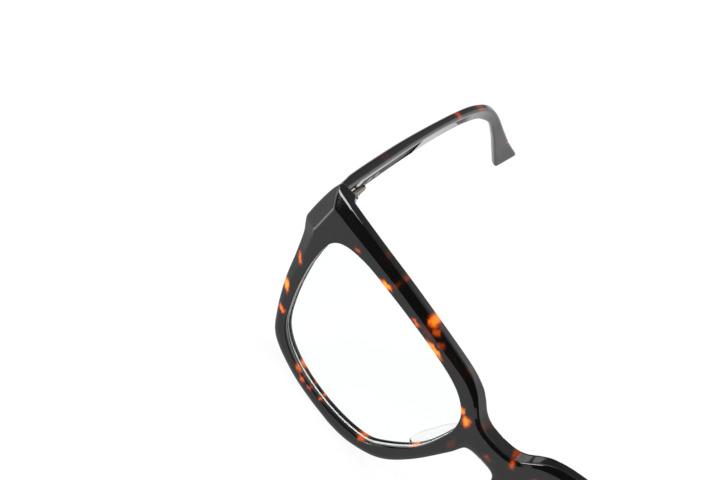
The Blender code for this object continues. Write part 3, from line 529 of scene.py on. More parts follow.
def edge_lines():
    """The whole outline, and its two parts either side of the end piece's upper corner."""
    line = outline()
    split = int(corner_distance(line).argmin())
    return line, with_mirror_end(line[:split + 1], True), with_mirror_end(line[split:], False)


def soft_max(a, b, softness):
    return 0.5 * (a + b + np.sqrt((a - b) ** 2 + softness ** 2))


def quarter_round(distance, radius):
    """How deep a rounded edge lies at a distance from it."""
    inside = np.clip(1 - distance / radius, 0, 1)
    return radius * (1 - np.sqrt(np.clip(1 - inside ** 2, 0, 1)))


def front_depth(points, crown, flank):
    """How far the front surface lies behind the bent sheet's own front, and the edge distance."""
    depth = np.zeros(len(points))
    nearest_edge = np.full(len(points), np.inf)
    for line in (crown, flank):
        distance, (cut, width, softness, _) = nearest(points, line)
        ramp = cut * (1 - distance / width)
        level = soft_max(ramp, 0.0, softness) - 0.5 * (np.sqrt(cut ** 2 + softness ** 2) - cut)
        depth = np.maximum(depth, np.where(distance < 3 * width, level, 0.0))
        nearest_edge = np.minimum(nearest_edge, distance)
    return depth, nearest_edge


def bridge_lean(points, edge_distance):
    """How far the front surface is lowered where the bridge's top wall leans."""
    lean = BRIDGE_LEAN * (1 - smoothstep(np.abs(points[:, 0]), *LEAN_SPAN))
    lean = lean * (1 - smoothstep(edge_distance, 0.0, LEAN_REACH))
    return np.where(points[:, 1] > LEAN_LOWEST, lean, 0.0)


def front_surface(inner, outer, toward, crown, flank):
    """Points of the front face, from the opening outwards, one row for each station."""
    low, high = inner[:, None] + OPENING_STEPS[-1], outer[:, None] - EDGE_STEPS[-1]
    free = np.linspace(0, 1, FRONT_ROWS + 2)[1:-1][None]
    distances = np.hstack((inner[:, None] + OPENING_STEPS, low + (high - low) * free,
                           outer[:, None] - EDGE_STEPS[::-1]))
    flat = fanned(distances, toward).reshape(-1, 2)
    depth, edge_distance = front_depth(flat, crown, flank)
    depth = depth + quarter_round(edge_distance, EDGE_FILLET)
    depth = depth + quarter_round((distances - inner[:, None]).ravel(), INNER_FILLET)
    lowered = flat[:, 1] - bridge_lean(flat, edge_distance)
    front = np.stack((flat[:, 0], face_y(flat[:, 0]) + depth, lowered), axis=1)
    return front.reshape(*distances.shape, 3)


def back_rows(block, span):
    """How far in from the outline the back's rows lie, and the width of the land there."""
    land = LAND_WIDTHS[0] + (LAND_WIDTHS[1] - LAND_WIDTHS[0]) * block
    past_edge = BACK_EDGE_STEPS[-1] * (1 - block)
    on_ramp = land + BLOCK_RAMP * np.linspace(0, 1, RAMP_ROWS)[None]
    tail = np.linspace(0, 1, TAIL_ROWS + 1)[1:][None]
    on_tail = on_ramp[:, -1:] + (span - OPENING_STEPS[-1] - on_ramp[:, -1:]) * tail
    rows = np.hstack((np.repeat(BACK_EDGE_STEPS[None], len(block), 0),
                      land * LAND_SHARES[None] + past_edge, on_ramp + past_edge, on_tail,
                      span - OPENING_STEPS[::-1][1:]))
    return np.maximum.accumulate(np.minimum(rows, span), axis=1), land


def back_surface(stations, inner, outer, toward, crown, flank):
    """Points of the back with the end piece's raised block, from the outline inwards."""
    block = stations[:, 5:]
    behind, land = back_rows(block, (outer - inner)[:, None])
    distances = outer[:, None] - behind
    flat = fanned(distances, toward).reshape(-1, 2)
    edge_distance = np.minimum(nearest(flat, crown)[0], nearest(flat, flank)[0])
    on_block = np.where(stations[:, 1:2] > CROWN_HEIGHT, 1.0, block)
    share = (on_block * (1 - smoothstep((behind - land) / BLOCK_RAMP))).ravel()
    limit = flat[:, 0] + TOP_SHIFT * smoothstep(flat[:, 1], *TOP_SHIFT_SPAN)
    share = share * (1 - smoothstep(limit, *BLOCK_LIMIT))
    sheet_back = face_y(flat[:, 0]) + SHEET
    y = sheet_back + (BLOCK_BACK - sheet_back) * share
    y -= quarter_round(edge_distance, BACK_FILLET)
    y -= quarter_round((distances - inner[:, None]).ravel(), INNER_FILLET)
    return np.stack((flat[:, 0], y, flat[:, 1]), axis=1).reshape(*distances.shape, 3)


def frame_half():
    """Points and faces of the right half, open where it meets the left half at X = 0."""
    line, crown, flank = edge_lines()
    middle = np.zeros((MIDDLE_STATIONS, line.shape[1]))
    middle[:, 1] = np.linspace(line[-1, 1], line[0, 1], MIDDLE_STATIONS + 2)[1:-1]
    stations = np.vstack((line, middle))
    angles, outer = bearing(stations)
    inner = opening_distance(angles)
    toward = directions(angles)

    front = front_surface(inner, outer, toward, crown, flank)
    back = back_surface(stations, inner, outer, toward, crown, flank)
    shares = np.linspace(0, 1, WALL_ROWS + 2)[1:-1][None, :, None]
    wall = front[:, -1:] + (back[:, :1] - front[:, -1:]) * shares
    groove = fanned(inner[:, None] + GROOVE[:, 0], toward)
    groove_y = face_y(groove[..., 0]) + GROOVE[:, 1]
    inside = np.stack((groove[..., 0], groove_y, groove[..., 1]), axis=2)

    points = np.concatenate((front, wall, back, inside), axis=1)
    rows, columns = points.shape[:2]
    edge_column = front.shape[1] - 1
    wall_columns = range(edge_column, edge_column + 1 + wall.shape[1])
    faces = []
    for r, quad in enumerate(grid_faces(rows, columns, True, True)):
        station, column = divmod(r, columns)
        if station < len(line) - 1 or column not in wall_columns:
            faces.append(quad)
    points[len(line):, edge_column, 0] = 0.0
    points = points.reshape(-1, 3)
    points[np.abs(points[:, 0]) < ON_PLANE, 0] = 0.0
    return points, faces


def make_front():
    points, faces = frame_half()
    count = len(points)
    both = np.vstack((points, points * np.array((-1, 1, 1))))
    both_faces = faces + [tuple(count + i for i in reversed(face)) for face in faces]
    return mesh_object("front_shell", both, both_faces)


def make_lens():
    """The right lens: a thin curved sheet whose bevelled edge sits in the rim's groove."""
    angles = np.linspace(0, 2 * math.pi, LENS_STATIONS, endpoint=False)
    edge = opening_distance(angles)
    toward = directions(angles)
    low, high = LENS_FACES
    corner = edge - LENS_GAP
    rings = [(edge * s, low) for s in LENS_RINGS]
    rings += [(corner - LENS_CHAMFER, low), (corner, low + LENS_CHAMFER)]
    rings += [(edge + reach, depth) for reach, depth, _ in LENS_EDGE]
    rings += [(corner, high - LENS_CHAMFER), (corner - LENS_CHAMFER, high)]
    rings += [(edge * s, high) for s in LENS_RINGS[::-1]]
    made = []
    for distance, depth in rings:
        xz = RIM_CENTRE + distance[:, None] * toward
        made.append(np.stack((xz[:, 0], face_y(xz[:, 0]) + depth, xz[:, 1]), axis=1))
    lens = lofted("lens_clear_right", made, 25)
    mark_lens(lens)
    return lens


def mark_lens(lens):
    """Where the lens's edge is ground matt, and where it is polished."""
    places = design_places(lens)
    past, depths = past_opening(places)
    matt = np.zeros(len(places))
    for reach, depth, ground in LENS_EDGE:
        here = (np.abs(past - reach) < RING_MARGIN) & (np.abs(depths - depth) < RING_MARGIN)
        matt[here] = ground
    set_attribute(lens, "ground", matt)
    set_attribute(lens, "gloss", (past < -LENS_GAP - RING_MARGIN).astype(float))


def make_nose_pad():
    """The right nose pad: a soft leaf shape with rounded ends."""
    angles = np.linspace(0, 2 * math.pi, PAD_SIDES, endpoint=False)
    rings = []
    for x, y, z, half_width, half_depth in spline(PAD_STATIONS, PAD_STEPS):
        rings.append(np.stack((x + half_width * np.cos(angles), y + half_depth * np.sin(angles),
                               np.full(PAD_SIDES, z)), axis=1))
    first, last = rings[0], rings[-1]
    for ring, step, at_start in ((first, PAD_END, True), (last, -PAD_END, False)):
        middle = ring.mean(0)
        for share in PAD_END_SHARES:
            lifted = middle + (ring - middle) * share
            lifted[:, 2] += step * (1 - share ** 2)
            rings = [lifted, *rings] if at_start else [*rings, lifted]
    return lofted("nose_pad_crystal_right", rings)


# ---------------------------------------------------------------- arm
def arm_section(middle, along, height, thickness, fillet=ARM_EDGE_RADIUS):
    """A rounded rectangle across the arm: height upright, thickness across."""
    side = Vector((-along.y, along.x, 0.0)).normalized()
    up = along.cross(side).normalized()
    corners = []
    for corner, (right, top) in enumerate(((1, 1), (-1, 1), (-1, -1), (1, -1))):
        for step in range(ARM_CORNER_STEPS + 1):
            angle = math.pi / 2 * (corner + step / ARM_CORNER_STEPS)
            corners.append((right * (thickness / 2 - fillet) + fillet * math.cos(angle),
                            top * (height / 2 - fillet) + fillet * math.sin(angle)))
    ring = []
    for i, (across, rise) in enumerate(corners):
        ring.append(middle + side * across + up * rise)
        if i % (ARM_CORNER_STEPS + 1) == ARM_CORNER_STEPS:
            next_across, next_rise = corners[(i + 1) % len(corners)]
            for step in range(1, ARM_FLAT_STEPS):
                t = step / ARM_FLAT_STEPS
                ring.append(middle + side * (across + (next_across - across) * t)
                            + up * (rise + (next_rise - rise) * t))
    return ring


def arm_rings():
    """Sections along the arm: its chamfered front end, its length and its rounded tip."""
    line = spline(ARM_STATIONS, ARM_STEPS)
    middles = [Vector((x, y, z)) for y, x, z, *_ in line]
    straight, chamfer = Vector((0, 1, 0)), ARM_FRONT_CHAMFER
    *_, height, thickness = line[0]
    rings = [
        arm_section(middles[0], straight, height - 2 * chamfer, thickness - 2 * chamfer,
                    ARM_EDGE_RADIUS - chamfer),
        arm_section(middles[0] + straight * chamfer, straight, height, thickness),
    ]
    for i, (*_, height, thickness) in enumerate(line[1:], 1):
        along = middles[min(i + 1, len(middles) - 1)] - middles[i - 1]
        rings.append(arm_section(middles[i], along.normalized(), height, thickness))
    along = (middles[-1] - middles[-2]).normalized()
    low, thin, sharp = ARM_TIP_SHRINK
    for step in range(1, ARM_TIP_STEPS + 1):
        angle = math.pi / 2 * step / ARM_TIP_STEPS
        shrink = (1 - math.cos(angle)) * ARM_TIP_REACH
        end = middles[-1] + along * (ARM_TIP_REACH * math.sin(angle))
        rings.append(arm_section(end, along, height - low * shrink, thickness - thin * shrink,
                                 ARM_EDGE_RADIUS - sharp * shrink))
    return rings


def sloped(thing):
    """Tilts a piece about the pocket's middle, so that it follows the arm."""
    middle = Vector(placed((0.0, *POCKET_MIDDLE))[0])
    turn = Matrix.Rotation(-POCKET_SLOPE, 4, "X")
    thing.data.transform(Matrix.Translation(middle) @ turn @ Matrix.Translation(-middle))
    return thing


def pocket_box(x_span, y_span, z_span, bevel=0.0):
    """A box in the arm; z_span is measured from the pocket's middle line."""
    middle = POCKET_MIDDLE[1]
    return sloped(box((x_span[0], y_span[0], middle + z_span[0]),
                      (x_span[1], y_span[1], middle + z_span[1]), bevel))


def around(middle, size, margin=0.0):
    """The span of a size about a middle, widened by a margin at both ends."""
    return middle - size / 2 - margin, middle + size / 2 + margin


def finished(thing, name, sharp_angle):
    thing.name = name
    shade(thing, sharp_angle)
    return thing


def make_arm(name, has_button):
    """The right arm's shell, open where the cover and the key go."""
    shell = lofted(name, arm_rings())
    cutters = [pocket_box(POCKET_X, POCKET_Y, around(0.0, POCKET_HEIGHT))]
    if has_button:
        cutters.append(pocket_box(around(BUTTON_X, BUTTON_WIDTH, SLOT_CLEARANCE),
                                  around(*BUTTON_PLACE, SLOT_CLEARANCE), BUTTON_HOLE))
    return finished(combined(shell, cutters, "DIFFERENCE"), name, 40)


def make_cover():
    """The lid over the pocket, with holes for the charging contacts and the speaker."""
    x_span = (COVER_FACE - COVER_THICKNESS, COVER_FACE)
    cut_span = (COVER_FACE - COVER_CUT_REACH, COVER_FACE + COVER_CUT_REACH)
    y_span = (POCKET_Y[0] + COVER_GAP, POCKET_Y[1] - COVER_GAP)
    cover = pocket_box(x_span, y_span, around(0.0, POCKET_HEIGHT - 2 * COVER_GAP))
    cutters = []
    for y in CONTACT_PLACES:
        cutters.append(sloped(bore(CONTACT_RADIUS + SLOT_CLEARANCE, (cut_span[0], y, POCKET_MIDDLE[1]),
                                   (1, 0, 0), cut_span[1] - cut_span[0])))
    slot = SPEAKER_SLOTS
    for k in range(slot["count"]):
        y = slot["first"] + k * slot["pitch"]
        cutters.append(pocket_box(cut_span, (y, y + slot["width"]), around(0.0, slot["height"]),
                                  SPEAKER_SLOT_ROUNDING))
    cover = combined(cover, cutters, "DIFFERENCE")
    return finished(rounded(cover, COVER_ROUNDING, 2, 50), "cover_lid_right", 35)


def make_button():
    """The key under the right arm, with ribs across its face."""
    x_span = around(BUTTON_X, BUTTON_WIDTH)
    key = pocket_box(x_span, around(*BUTTON_PLACE), BUTTON_HEIGHTS, BUTTON_ROUNDING)
    low = BUTTON_HEIGHTS[0]
    cutters = []
    for k in range(RIBS["count"]):
        place = BUTTON_PLACE[0] + (k - (RIBS["count"] - 1) / 2) * RIBS["pitch"]
        cutters.append(pocket_box((x_span[0] - CUT_REACH, x_span[1] + CUT_REACH),
                                  around(place, RIBS["width"]),
                                  (low - CUT_REACH, low + RIBS["depth"])))
    return finished(combined(key, cutters, "DIFFERENCE"), "power_key", 35)


# ---------------------------------------------------------------- hinge
def bore(radius, base, axis, length):
    """A round cutter from base along an axis."""
    return turned(((0, radius), (length, radius)), base, axis)


def knuckle(span):
    """One barrel of the hinge between two heights."""
    return turned(rounded_profile(BARREL_RADIUS, span[1] - span[0], KNUCKLE_FILLET),
                  (*HINGE_AXIS, span[0]), (0, 0, 1))


def axis_bore():
    """A cutter down the hinge's axis, through all its knuckles."""
    low, high = FRONT_KNUCKLES[0][0] - CUT_REACH, FRONT_KNUCKLES[1][1] + CUT_REACH
    return bore(BORE_RADIUS, (*HINGE_AXIS, low), (0, 0, 1), high - low)


def make_front_leaf():
    """The plate on the end piece's back, with its two knuckles."""
    leaf = box(*FRONT_PLATE, PLATE_ROUNDING)
    x, y = HINGE_AXIS
    additions = []
    for low, high in FRONT_KNUCKLES:
        additions.append(knuckle((low, high)))
        additions.append(box((x - WEB_REACH, FRONT_PLATE[1][1] - WEB_OVERLAP, low + WEB_INSET),
                             (x + WEB_REACH, y, high - WEB_INSET), WEB_ROUNDING))
    leaf = combined(leaf, additions, "UNION")
    cutters = [axis_bore()]
    for z in FRONT_SCREW_HEIGHTS:
        start, end = FRONT_SCREW_CUT
        cutters.append(bore(SCREW_HOLE_RADIUS, (FRONT_SCREW_X, start, z), (0, 1, 0), end - start))
    return finished(combined(leaf, cutters, "DIFFERENCE"), "hinge_plate_right", 30)


def housing_shell():
    """The hinge's spring housing: a long pill with a groove along each side that shows."""
    low, high = HOUSING
    shell = box(low, high, HOUSING_ROUNDING)
    across = around((low[0] + high[0]) / 2, HOUSING_GROOVE)
    y_span = (low[1] + GROOVE_ENDS[0], high[1] - GROOVE_ENDS[1])
    spans = [(across, (high[2] - GROOVE_CUT, high[2] + CUT_REACH)),
             (across, (low[2] - CUT_REACH, low[2] + GROOVE_CUT))]
    for offset in GROOVE_OFFSETS:
        spans.append(((high[0] - GROOVE_CUT, high[0] + CUT_REACH),
                      around((low[2] + high[2]) / 2 + offset, HOUSING_GROOVE)))
    grooves = [box((x[0], y_span[0], z[0]), (x[1], y_span[1], z[1])) for x, z in spans]
    return combined(shell, grooves, "DIFFERENCE")


def make_arm_leaf():
    """The housing on the arm's inner face, with its neck and knuckle."""
    x, y = HINGE_AXIS
    low, high = ARM_KNUCKLE
    neck = box((x - WEB_REACH, y, low + WEB_INSET),
               (x + WEB_INSET, HOUSING[0][1] + NECK_REACH, high - WEB_INSET), NECK_ROUNDING)
    leaf = combined(housing_shell(), [neck, knuckle(ARM_KNUCKLE)], "UNION")
    cutters = [axis_bore()]
    start, end = HOUSING[0][0] - CUT_REACH, HOUSING[1][0] + CUT_REACH
    for place in ARM_SCREW_PLACES:
        cutters.append(bore(SCREW_HOLE_RADIUS, (start, *place), (1, 0, 0), end - start))
    return finished(combined(leaf, cutters, "DIFFERENCE"), "hinge_housing_right", 30)


# ---------------------------------------------------------------- materials
class Tree:
    """A node tree, with short ways to add nodes to it."""

    def __init__(self, tree):
        self.tree = tree

    def plug(self, value, socket):
        """Gives a socket a value, or links it to another node's output."""
        if isinstance(value, bpy.types.NodeSocket):
            self.tree.links.new(value, socket)
        else:
            socket.default_value = value

    def add(self, kind, inputs=None, **settings):
        node = self.tree.nodes.new(kind)
        for key, value in settings.items():
            setattr(node, key, value)
        for key, value in (inputs or {}).items():
            self.plug(value, node.inputs[key])
        return node

    def math(self, operation, a, b):
        return self.add("ShaderNodeMath", {0: a, 1: b}, operation=operation).outputs["Value"]

    def ranged(self, value, low, high, start=0.0, end=1.0, **settings):
        """A value's range from start to end, stretched to the range from low to high."""
        limits = {"From Min": start, "From Max": end, "To Min": low, "To Max": high}
        node = self.add("ShaderNodeMapRange", {"Value": value, **limits}, **settings)
        return node.outputs["Result"]


class Nodes(Tree):
    """A material's node tree."""

    def __init__(self, name):
        self.material = bpy.data.materials.new(name)
        self.material.use_nodes = True
        super().__init__(self.material.node_tree)
        self.shader = self.tree.nodes["Principled BSDF"]
        self.place = self.add("ShaderNodeTexCoord").outputs["Object"]

    def stretched(self, scale):
        """Object coordinates scaled along each axis."""
        node = self.add("ShaderNodeMapping", {"Scale": scale, "Vector": self.place})
        return node.outputs["Vector"]

    def noise(self, scale, detail=2.0, distortion=0.0, place=None):
        inputs = {"Scale": scale, "Detail": detail, "Distortion": distortion,
                  "Vector": place or self.place}
        return self.add("ShaderNodeTexNoise", inputs).outputs["Fac"]

    def attribute(self, name):
        return self.add("ShaderNodeAttribute", attribute_name=name).outputs["Fac"]

    def mix(self, share, start, colour):
        """A colour socket, moved towards a fixed colour by share."""
        inputs = {"Factor": share, 6: start, 7: (*colour, 1.0)}
        return self.add("ShaderNodeMix", inputs, data_type="RGBA").outputs[2]

    def ramp(self, value, stops):
        """Colours along a value: stops are (position, colour)."""
        node = self.add("ShaderNodeValToRGB", {"Fac": value})
        elements = node.color_ramp.elements
        while len(elements) < len(stops):
            elements.new(0.5)
        for element, (position, colour) in zip(elements, stops):
            element.position = position
            element.color = (*colour, 1.0)
        return node.outputs["Color"]

    def bump(self, height, strength, distance):
        inputs = {"Strength": strength, "Distance": distance * MM, "Height": height}
        self.put(Normal=self.add("ShaderNodeBump", inputs).outputs["Normal"])

    def put(self, **values):
        """Sets or links the shader's sockets; a socket's spaces are written as underscores."""
        for key, value in values.items():
            self.plug(value, self.shader.inputs[key.replace("_", " ")])
        return self.material


def acetate_material():
    """Polished tortoiseshell: near-black with dark red clouds and amber marks, and a painted highlight
    along the end piece's ridges.
    """
    n = Nodes("tortoiseshell_acetate")
    grain = n.ranged(n.noise(800.0, 2.0, 0.4), -0.12, 0.12)
    scattered = n.ranged(n.noise(165.0, 2.0, 1.2), 0.0, 0.95, 0.56, 0.8)
    scattered = n.math("MULTIPLY", scattered, n.attribute("free"))
    heat = n.math("MAXIMUM", n.attribute("amber"), scattered)
    heat = n.math("ADD", heat, n.math("MULTIPLY", grain, n.ranged(heat, 0.0, 1.0, 0.0, 0.5)))
    heat = n.math("MAXIMUM", heat, n.ranged(n.noise(95.0, 3.0, 0.8), 0.0, 0.28, 0.52, 0.78))
    # painted highlight: a light line along the end piece's facet ridges and a bright spot where they
    # meet, mixed into the base colour; the same mask also roughens the surface there
    edge = n.math("ABSOLUTE", n.attribute("facet"), 0.0)
    painted_ridge_highlight = n.math("MULTIPLY", n.ranged(edge, 1.0, 0.0, *PAINTED_HIGHLIGHT_FADE), n.attribute("painted_ridge_highlight"))
    colour = n.mix(n.math("MULTIPLY", painted_ridge_highlight, 0.5), n.ramp(heat, HEAT_COLOURS), PAINTED_HIGHLIGHT_COLOUR)
    haze = n.math("ADD", n.ranged(n.noise(60.0, 4.0), 0.045, 0.085), n.math("MULTIPLY", painted_ridge_highlight, 0.15))
    n.bump(n.noise(220.0, 2.0), 0.03, 0.05)
    return n.put(Base_Color=colour, Roughness=haze, IOR=1.49)


def lens_material():
    """Clear coated plastic: it mirrors by its angle and lets the rest through."""
    n = Nodes("clear_lens")
    ground = n.attribute("ground")
    fresnel = n.add("ShaderNodeFresnel", {"IOR": COATED_IOR}).outputs["Fac"]
    tint = n.ramp(n.noise(40.0, 1.0), ((0.0, (0.975, 0.99, 0.985)), (1.0, (0.99, 1.0, 1.0))))
    clear = n.add("ShaderNodeBsdfTransparent", {"Color": tint})
    gloss = n.math("MAXIMUM", n.math("MULTIPLY", fresnel, n.attribute("gloss")), ground)
    layers = {0: gloss, 1: clear.outputs["BSDF"], 2: n.shader.outputs["BSDF"]}
    both = n.add("ShaderNodeMixShader", layers)
    n.plug(both.outputs["Shader"], n.tree.nodes["Material Output"].inputs["Surface"])
    rough = n.math("ADD", n.ranged(n.noise(300.0), 0.01, 0.03), n.math("MULTIPLY", ground, 0.6))
    return n.put(Base_Color=tint, Roughness=rough, Metallic=n.math("SUBTRACT", 1.0, ground))


def crystal_material():
    """Clear acetate, with painted dark shade where it is seen edge on, in place of the dark surroundings
    its edges would refract.
    """
    n = Nodes("crystal_acetate")
    facing = n.add("ShaderNodeLayerWeight").outputs["Facing"]
    painted_edge_shade = n.math("SUBTRACT", facing, n.ranged(n.noise(220.0, 3.0), 0.0, 0.06))
    # painted shade: the tint falls to near-black where the pad is seen edge on
    tint = n.ramp(painted_edge_shade, ((0.0, (0.97, 0.965, 0.95)), (0.55, (0.93, 0.925, 0.91)),
                            (0.8, (0.5, 0.49, 0.48)), (0.97, (0.02, 0.02, 0.02))))
    n.bump(n.noise(260.0, 2.0), 0.04, 0.05)
    return n.put(Base_Color=tint, Roughness=n.ranged(n.noise(500.0), 0.03, 0.08),
                 Transmission_Weight=1.0, IOR=1.3)


def metal_material(name, dark, light, stretch, roughness, bump=0.12):
    """Brushed metal: fine lines that run along one axis."""
    n = Nodes(name)
    lines = n.noise(1.0, 4.0, 0.0, n.stretched(stretch))
    worn = n.ranged(n.noise(700.0, 3.0), 0.0, 0.08)
    rough = n.math("ADD", n.ranged(lines, roughness - 0.06, roughness + 0.06), worn)
    n.bump(lines, bump, 0.03)
    return n.put(Base_Color=n.ramp(lines, ((0.25, dark), (0.8, light))), Metallic=1.0,
                 Roughness=rough)


def polymer_material():
    """Matt black moulded plastic with a fine grain."""
    n = Nodes("black_polymer")
    grain = n.noise(4500.0, 3.0)
    colour = n.ramp(n.noise(300.0, 3.0), ((0.3, (0.007, 0.0065, 0.006)), (0.75, (0.012, 0.011, 0.010))))
    n.bump(grain, 0.1, 0.01)
    return n.put(Base_Color=colour, Roughness=n.ranged(grain, 0.36, 0.46), Specular_IOR_Level=0.05)


def foil_material():
    """Crinkled pouch foil."""
    n = Nodes("battery_foil")
    folds = n.noise(800.0, 4.0, 1.0)
    colour = n.ramp(folds, ((0.2, (0.45, 0.45, 0.44)), (0.8, (0.72, 0.72, 0.70))))
    n.bump(folds, 0.5, 0.08)
    return n.put(Base_Color=colour, Metallic=1.0, Roughness=n.ranged(folds, 0.22, 0.42))


def board_material():
    """Green laminate with lighter traces running along it."""
    n = Nodes("board_laminate")
    bricks = n.add("ShaderNodeTexBrick", {
        "Scale": 1.0, "Mortar Size": 0.06, "Color1": (0.008, 0.07, 0.03, 1.0),
        "Color2": (0.01, 0.09, 0.04, 1.0), "Mortar": (0.09, 0.26, 0.10, 1.0),
        "Vector": n.stretched((1500.0, 700.0, 1500.0)),
    })
    n.bump(bricks.outputs["Fac"], 0.3, 0.02)
    return n.put(Base_Color=bricks.outputs["Color"], Roughness=n.ranged(n.noise(900.0), 0.3, 0.5))


def grille_material():
    """A woven metal gauze."""
    n = Nodes("speaker_gauze")
    cells = n.add("ShaderNodeTexVoronoi", {"Scale": 3800.0, "Vector": n.place}, feature="F1")
    distance = cells.outputs["Distance"]
    colour = n.ramp(distance, ((0.2, (0.015, 0.015, 0.015)), (0.6, (0.22, 0.22, 0.22))))
    n.bump(distance, 0.6, 0.05)
    return n.put(Base_Color=colour, Metallic=0.8, Roughness=n.ranged(n.noise(900.0), 0.35, 0.55))


def film_material():
    """Amber polyimide film with copper lines in it."""
    n = Nodes("polyimide_film")
    inputs = {"Scale": 400.0, "Vector": n.place}
    bands = n.add("ShaderNodeTexWave", inputs, bands_direction="Z").outputs["Fac"]
    colour = n.ramp(bands, ((0.4, (0.42, 0.17, 0.02)), (0.7, (0.72, 0.34, 0.12))))
    return n.put(Base_Color=colour, Roughness=n.ranged(n.noise(900.0), 0.25, 0.45))


def make_materials():
    along_arm = (9000.0, 350.0, 9000.0)
    upright = (8000.0, 8000.0, 500.0)
    return {
        "acetate": acetate_material(),
        "lens": lens_material(),
        "nose_pad": crystal_material(),
        "hinge": metal_material("nickel_silver", (0.1, 0.085, 0.065), (0.42, 0.36, 0.29), along_arm, 0.3),
        "steel": metal_material("steel", (0.36, 0.36, 0.37), (0.62, 0.62, 0.63), upright, 0.25),
        "cover": polymer_material(),
        "battery": foil_material(),
        "board": board_material(),
        "speaker": grille_material(),
        "gold": metal_material("gold_plate", (0.62, 0.40, 0.14), (0.90, 0.66, 0.28), upright, 0.2, 0.05),
        "film": film_material(),
    }


# ---------------------------------------------------------------- amber marks
def fleck_heat(places, flecks):
    """How warm the acetate is at each place, from 0 for black to 1 for yellow."""
    u, v = places[:, 0], places[:, 1]
    warped_u = u + 0.22 * np.sin(2.3 * v + 0.7 * u) + 0.1 * np.sin(5.1 * v - 1.9 * u)
    warped_v = v + 0.16 * np.sin(2.7 * u + 1.1 * v) + 0.08 * np.sin(6.3 * u + 2.2 * v)
    heat = np.zeros(len(places))
    for mark_u, mark_v, half_length, half_width, tilt, warmth in flecks:
        turn = math.radians(tilt)
        du, dv = warped_u - mark_u, warped_v - mark_v
        across = (du * math.cos(turn) + dv * math.sin(turn)) / half_length
        rise = (dv * math.cos(turn) - du * math.sin(turn)) / half_width
        reach = np.hypot(across, rise)
        heat = np.maximum(heat, warmth * (1 - smoothstep(reach, FLECK_CORE, FLECK_HALO)))
    return heat


def set_attribute(thing, name, values):
    layer = thing.data.attributes.new(name, "FLOAT", "POINT")
    layer.data.foreach_set("value", np.asarray(values, np.float32))


def design_places(thing):
    """The object's points in the design's frame."""
    points = np.zeros(len(thing.data.vertices) * 3, np.float32)
    thing.data.vertices.foreach_get("co", points)
    return points.reshape(-1, 3) / MM - ORIGIN


def past_opening(places):
    """How far points lie past the lens opening's edge, and behind the bent sheet's front."""
    angles, distances = bearing(places[:, (0, 2)])
    return distances - opening_distance(angles), places[:, 1] - face_y(places[:, 0])


def mark_front(thing):
    """The front's amber marks, and how near each point is to the side facet's ridge, where a highlight is
    painted into the colour.
    """
    places = design_places(thing)
    flat = places[:, (0, 2)]
    past, depths = past_opening(places)
    on_wall = (past < WALL_REACH) & (depths > WALL_DEPTHS[0]) & (depths < WALL_DEPTHS[1])
    wall_heat = np.where(on_wall, fleck_heat(flat, WALL_FLECKS), 0.0)
    set_attribute(thing, "amber", np.maximum(fleck_heat(flat, FRONT_FLECKS), wall_heat))
    set_attribute(thing, "free", smoothstep(places[:, 0], *SCATTER_SPAN))

    flat = np.stack((-np.abs(flat[:, 0]), flat[:, 1]), axis=1)
    _, crown, flank = edge_lines()
    levels = []
    for line in (crown, flank):
        distance, (cut, width, _, block) = nearest(flat, line)
        levels.append(cut * (1 - distance / width))
    above, beside = levels
    set_attribute(thing, "facet", beside - np.maximum(above, 0.0))
    # strength of the painted highlight: a light line along the ridges and a painted glint where the three
    # facets meet
    strength = np.where(above > 0, PAINTED_HIGHLIGHT_SIDE_SHARE, 1.0)
    strength = strength + np.exp(-(above ** 2 + beside ** 2) / (PAINTED_GLINT_REACH / 2) ** 2)
    set_attribute(thing, "painted_ridge_highlight", strength * block * (depths < PAINTED_HIGHLIGHT_DEEPEST))


def mark_arm(thing, right):
    places = design_places(thing)
    marks = fleck_heat(places[:, (1, 2)], ARM_FLECKS) if right else np.zeros(len(places))
    set_attribute(thing, "amber", marks)
    set_attribute(thing, "free", np.full(len(places), ARM_SCATTER["right" if right else "left"]))


# ---------------------------------------------------------------- assembly
def finish_piece(piece, slot, body, materials, *nodes):
    """Gives a piece its material, hangs it on its body and hides the CAD nodes it stands for."""
    piece.data.materials.clear()
    piece.data.materials.append(materials[slot])
    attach(piece, body)
    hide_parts(*nodes)


def build_pieces(materials):
    front = make_front()
    mark_front(front)
    finish_piece(front, "acetate", "front", materials, "frame_front")
    makers = (
        (make_lens, "lens", "front", "lens"),
        (make_nose_pad, "nose_pad", "front", "nose_pad"),
        (make_front_leaf, "hinge", "front", "hinge_leaf_front"),
        (make_arm_leaf, "hinge", "arm", "hinge_leaf_arm"),
        (make_cover, "cover", "arm", "arm_cover"),
    )
    for maker, slot, body, node in makers:
        right = maker()
        left = mirrored(right, right.name.replace("_right", "_left"))
        for side, piece in (("right", right), ("left", left)):
            on_body = body if body == "front" else f"{body}_{side}"
            finish_piece(piece, slot, on_body, materials, f"{node}_{side}")
    for side in ("right", "left"):
        arm = make_arm(f"arm_{side}_shell", side == "right")
        if side == "left":
            arm.data.transform(Matrix.Diagonal((-1.0, 1.0, 1.0, 1.0)))
            arm.data.flip_normals()
        mark_arm(arm, side == "right")
        finish_piece(arm, "acetate", f"arm_{side}", materials, f"arm_shell_{side}")
    finish_piece(make_button(), "cover", "control_button", materials, "control_button_right")


def dress_carried_nodes(materials):
    """Gives every CAD node that still shows its procedural material."""
    finishes = (
        ("hinge_screw", "steel"), ("front_leaf_screw", "steel"), ("arm_leaf_screw", "steel"),
        ("core_wire", "steel"), ("battery", "battery"), ("circuit_board", "board"),
        ("speaker", "speaker"), ("microphone", "gold"), ("charging_contact", "steel"),
        ("touch_strip", "film"),
    )
    for name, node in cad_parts.items():
        for start, slot in finishes:
            if name.startswith(start):
                node.data.materials.clear()
                node.data.materials.append(materials[slot])


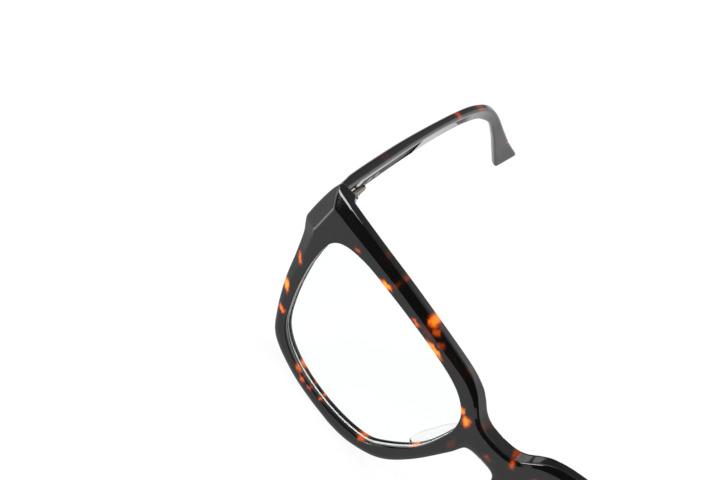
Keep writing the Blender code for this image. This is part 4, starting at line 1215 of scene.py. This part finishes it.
# ---------------------------------------------------------------- stage, light and camera
def make_floor():
    """A large pale sheet under the object."""
    r = FLOOR_REACH
    mesh = bpy.data.meshes.new("floor")
    mesh.from_pydata([(-r, -r, 0), (r, -r, 0), (r, r, 0), (-r, r, 0)], [], [(0, 1, 2, 3)])
    floor = bpy.data.objects.new("floor", mesh)
    bpy.context.scene.collection.objects.link(floor)
    n = Nodes("pale_floor")
    n.put(Base_Color=FLOOR_COLOUR, Roughness=0.9, Specular_IOR_Level=0.0,
          Emission_Color=(1.0, 1.0, 1.0, 1.0), Emission_Strength=FLOOR_GLOW)
    mesh.materials.append(n.material)


def make_lights():
    for name, (place, aim, size, power, in_gloss) in LIGHTS.items():
        light = bpy.data.lights.new(name, "AREA")
        light.shape = "RECTANGLE"
        light.size, light.size_y = size
        light.energy = power
        lamp = bpy.data.objects.new(name, light)
        lamp.visible_glossy = in_gloss
        lamp.location = place
        lamp.rotation_euler = (Vector(aim) - Vector(place)).to_track_quat("-Z", "Y").to_euler()
        bpy.context.scene.collection.objects.link(lamp)


def make_world():
    """Soft surrounding light: dark in front, and behind rising from one side to the other."""
    world = bpy.data.worlds.new("studio")
    world.use_nodes = True
    n = Tree(world.node_tree)
    place = n.add("ShaderNodeTexCoord").outputs["Generated"]
    axes = n.add("ShaderNodeSeparateXYZ", {"Vector": place}).outputs
    soft = {"interpolation_type": "SMOOTHSTEP"}
    behind = n.ranged(axes["X"], *WORLD_SIDES, *WORLD_SIDE_SPAN, **soft)
    level = n.ranged(axes["Y"], WORLD_FRONT, behind, *WORLD_BACK_SPAN, **soft)
    level = n.ranged(axes["Z"], level, WORLD_TOP, *WORLD_TOP_SPAN, **soft)
    n.plug(level, n.tree.nodes["Background"].inputs["Color"])
    bpy.context.scene.world = world


def make_camera():
    camera = bpy.data.cameras.new("camera")
    camera.lens = CAMERA_LENS
    camera.sensor_width = SENSOR_WIDTH
    camera.clip_start, camera.clip_end = 0.01, 20.0
    holder = bpy.data.objects.new("camera", camera)
    place, aim = (Vector(p) for p in placed((CAMERA_PLACE, CAMERA_AIM)))
    holder.location = place
    holder.rotation_mode = "QUATERNION"
    level = (aim - place).to_track_quat("-Z", "Y")
    holder.rotation_quaternion = level @ Matrix.Rotation(CAMERA_ROLL, 3, "Z").to_quaternion()
    bpy.context.scene.collection.objects.link(holder)
    bpy.context.scene.camera = holder


def main():
    bpy.context.scene.view_settings.view_transform = "Standard"
    make_camera()
    make_floor()
    make_world()
    make_lights()
    materials = make_materials()
    build_pieces(materials)
    dress_carried_nodes(materials)


main()
